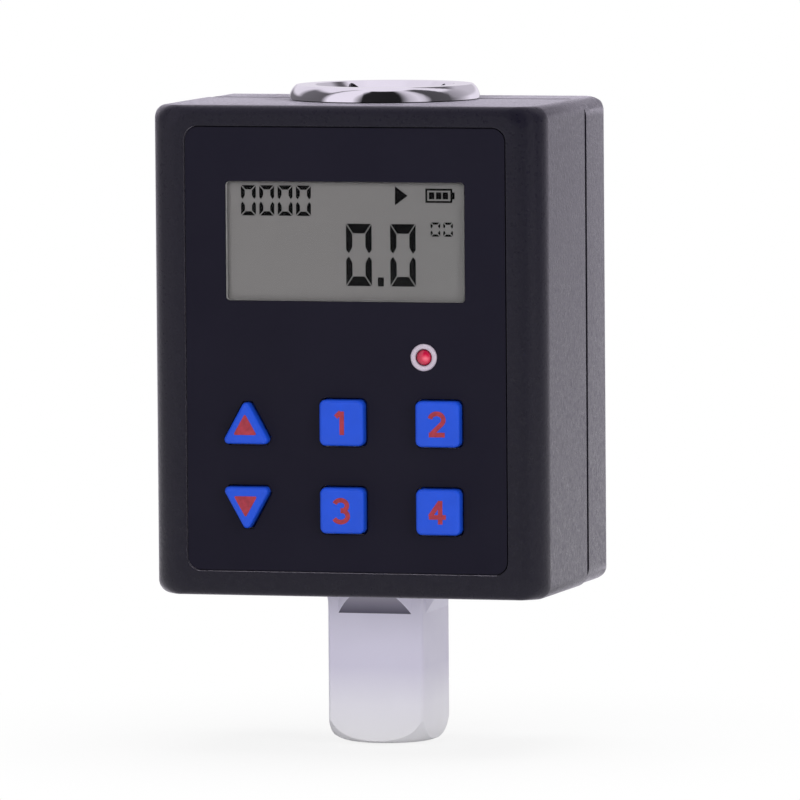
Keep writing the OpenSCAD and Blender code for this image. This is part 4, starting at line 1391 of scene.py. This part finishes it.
@dataclass
class Studio:
    """White room, soft lamps and floor.

    What glossy surfaces mirror is a ring of light and dark cards round the object, read off the
    chromed flange: the front ones stand full height, and those behind differ in three rows under a
    white ceiling. Angles count from the front towards +X, and steps are heights on the unit sphere.
    Each lamp has its name, its place, the side of its square face, and the brightness of white card
    that faces it at the object, from 0 to 1.
    """

    ambient: float = 0.42
    front: tuple[tuple[float, float], ...] = (
        (-67, 0.13), (-58, 1.0), (-24, 1.0), (-13, 0.02), (36, 0.015), (47, 0.6), (59, 0.85),
        (68, 0.65), (75, 0.08), (104, 0.1))
    rows: tuple[tuple[tuple[tuple[float, float], ...], ...], ...] = (
        (((-180, 0.95), (-172, 0.84), (-156, 0.84), (-144, 0.2)),
         ((128, 0.6), (144, 1.0), (180, 0.95))),
        (((-180, 0.65), (-165, 0.9), (-120, 0.9), (-106, 0.18)),
         ((112, 0.35), (150, 0.65), (180, 0.65))),
        (((-180, 0.3), (-172, 0.95), (-72, 0.95)),
         ((110, 0.95), (133, 0.95), (140, 0.12), (180, 0.3))))
    steps: tuple[tuple[float, float], ...] = ((0.1, 0.24), (0.6, 0.75), (0.93, 0.97))
    card: str = "#F7F1FD"
    lamps: tuple[tuple[str, Point, float, float], ...] = (
        ("Key", (-0.25, -1.35, 0.5), 0.7, 0.32), ("Fill", (1.2, -0.9, 0.5), 0.8, 0.38),
        ("Top", (0.1, 0.2, 1.4), 0.9, 0.46))
    aim: Point = (0.0, 0.0, 0.07)
    floor_half: float = 6.0
    floor_z: float = -0.0003
    paper: tuple[str, str] = ("#F2F2F2", "#F8F8F8")
    fibre_scale: float = 900.0
    shadow: float = 0.16
    shadow_reach: tuple[float, float] = (0.02, 0.12)

    def cards(self, tree: Tree) -> Socket:
        """Gives what a ray meets on the cards: a shade by its angle, blended from row to row.

        Args:
            tree: The world's nodes.

        Returns:
            The shade's socket.
        """
        ray = add(tree, "SeparateXYZ", {0: add(tree, "TexCoord").outputs["Generated"]})
        ahead = add(tree, "Math", {0: ray.outputs["Y"], 1: -1.0}, operation="MULTIPLY")
        angle = add(tree, "Math", {0: ray.outputs["X"], 1: ahead.outputs[0]}, operation="ARCTAN2")
        share = add(tree, "MapRange", {
            "Value": angle.outputs[0], "From Min": -math.pi, "From Max": math.pi}).outputs["Result"]
        shades: list[Any] = []
        for left, right in self.rows:
            row = left + self.front + right
            stops = [((a + 180) / 360, scaled(srgb(self.card), v)) for a, v in row]
            shades.append(add(tree, "ValToRGB", {0: share}, stops).outputs["Color"])
        seen = shades[0]
        for (start, end), shade in zip(self.steps, shades[1:] + [srgb(self.card)]):
            rise = add(tree, "MapRange", {"Value": ray.outputs["Z"], "From Min": start,
                                          "From Max": end}, interpolation_type="SMOOTHSTEP")
            seen = add(tree, "Mix", {0: rise.outputs["Result"], 6: seen, 7: shade},
                       data_type="RGBA").outputs[2]
        return seen

    def world(self) -> None:
        """Makes the world: white to the camera, even to matt surfaces, cards to glossy ones."""
        world = bpy.data.worlds.new("Studio")
        bpy.context.scene.world = world
        tree = bare_tree(world)
        cards = self.cards(tree)
        kind = add(tree, "LightPath")
        grey = scaled(WHITE, self.ambient)
        lit = add(tree, "Mix", {0: kind.outputs["Is Glossy Ray"], 6: grey, 7: cards},
                  data_type="RGBA")
        seen = add(tree, "Math", {0: kind.outputs["Is Camera Ray"],
                                  1: kind.outputs["Is Transmission Ray"]}, operation="MAXIMUM")
        final = add(tree, "Mix", {0: seen.outputs[0], 6: lit.outputs[2], 7: WHITE},
                    data_type="RGBA")
        glow = add(tree, "Background", {"Color": final.outputs[2]})
        add(tree, "OutputWorld", {"Surface": glow.outputs[0]})

    def lamp(self, name: str, spot: Vector, size: float, level: float) -> None:
        """Makes a soft lamp aimed at the object.

        Args:
            name: Name of the lamp.
            spot: Where it hangs, in metres.
            size: Side of its square face, in metres.
            level: Brightness of white card that faces it at the object, from 0 to 1.
        """
        away = spot - Vector(self.aim)
        light = bpy.data.lights.new(name, "AREA")
        light.shape, light.size = "SQUARE", size
        light.energy = level * math.pi**2 * away.length_squared
        obj = bpy.data.objects.new(name, light)
        turn = away.to_track_quat("Z", "Y").to_matrix().to_4x4()
        obj.matrix_world = Matrix.Translation(spot) @ turn
        obj.visible_glossy = False
        show(obj)

    def floor(self) -> None:
        """Makes the pale floor: near white to the camera, with the object's soft shadow on it."""
        h, z = self.floor_half, self.floor_z
        mesh = bpy.data.meshes.new("Floor")
        mesh.from_pydata([(-h, -h, z), (h, -h, z), (h, h, z), (-h, h, z)], [], [(0, 1, 2, 3)])
        material = bpy.data.materials.new("White_paper_sweep")
        tree = bare_tree(material)
        place = add(tree, "TexCoord").outputs["Object"]
        fibre = add(tree, "TexNoise", {"Vector": place, "Scale": self.fibre_scale})
        shades = list(zip(CLOUD, (srgb(code) for code in self.paper)))
        tone = add(tree, "ValToRGB", {0: fibre.outputs["Fac"]}, shades)
        paper = add(tree, "BsdfDiffuse", {"Color": tone.outputs["Color"]})
        white = add(tree, "Emission", {"Color": WHITE})
        away = add(tree, "VectorMath", {0: place}, operation="LENGTH").outputs["Value"]
        near, far = self.shadow_reach
        plain = add(tree, "MapRange", {"Value": away, "From Min": near, "From Max": far,
                                       "To Min": 1 - self.shadow, "To Max": 1.0},
                    interpolation_type="SMOOTHSTEP")
        seen = add(tree, "Math", {0: add(tree, "LightPath").outputs["Is Camera Ray"],
                                  1: plain.outputs["Result"]}, operation="MULTIPLY")
        mixed = add(tree, "MixShader", {
            0: seen.outputs[0], 1: paper.outputs[0], 2: white.outputs[0]})
        add(tree, "OutputMaterial", {"Surface": mixed.outputs[0]})
        mesh.materials.append(material)
        floor = bpy.data.objects.new("Floor", mesh)
        show(floor)

    def build(self) -> None:
        """Makes the room."""
        self.world()
        for name, spot, size, level in self.lamps:
            self.lamp(name, Vector(spot), size, level)
        self.floor()
        bpy.context.scene.view_settings.view_transform = "Standard"


def main() -> None:
    """Builds the whole picture on the frame."""
    logging.basicConfig(level=logging.INFO, format="%(name)s: %(message)s")
    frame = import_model()
    Camera().build()
    Studio().build()
    for assembly in (Shaft, Housing, Display, Keypad, Lamp, Electronics, Power):
        assembly(frame).build()


if __name__ == "__main__":
    main()
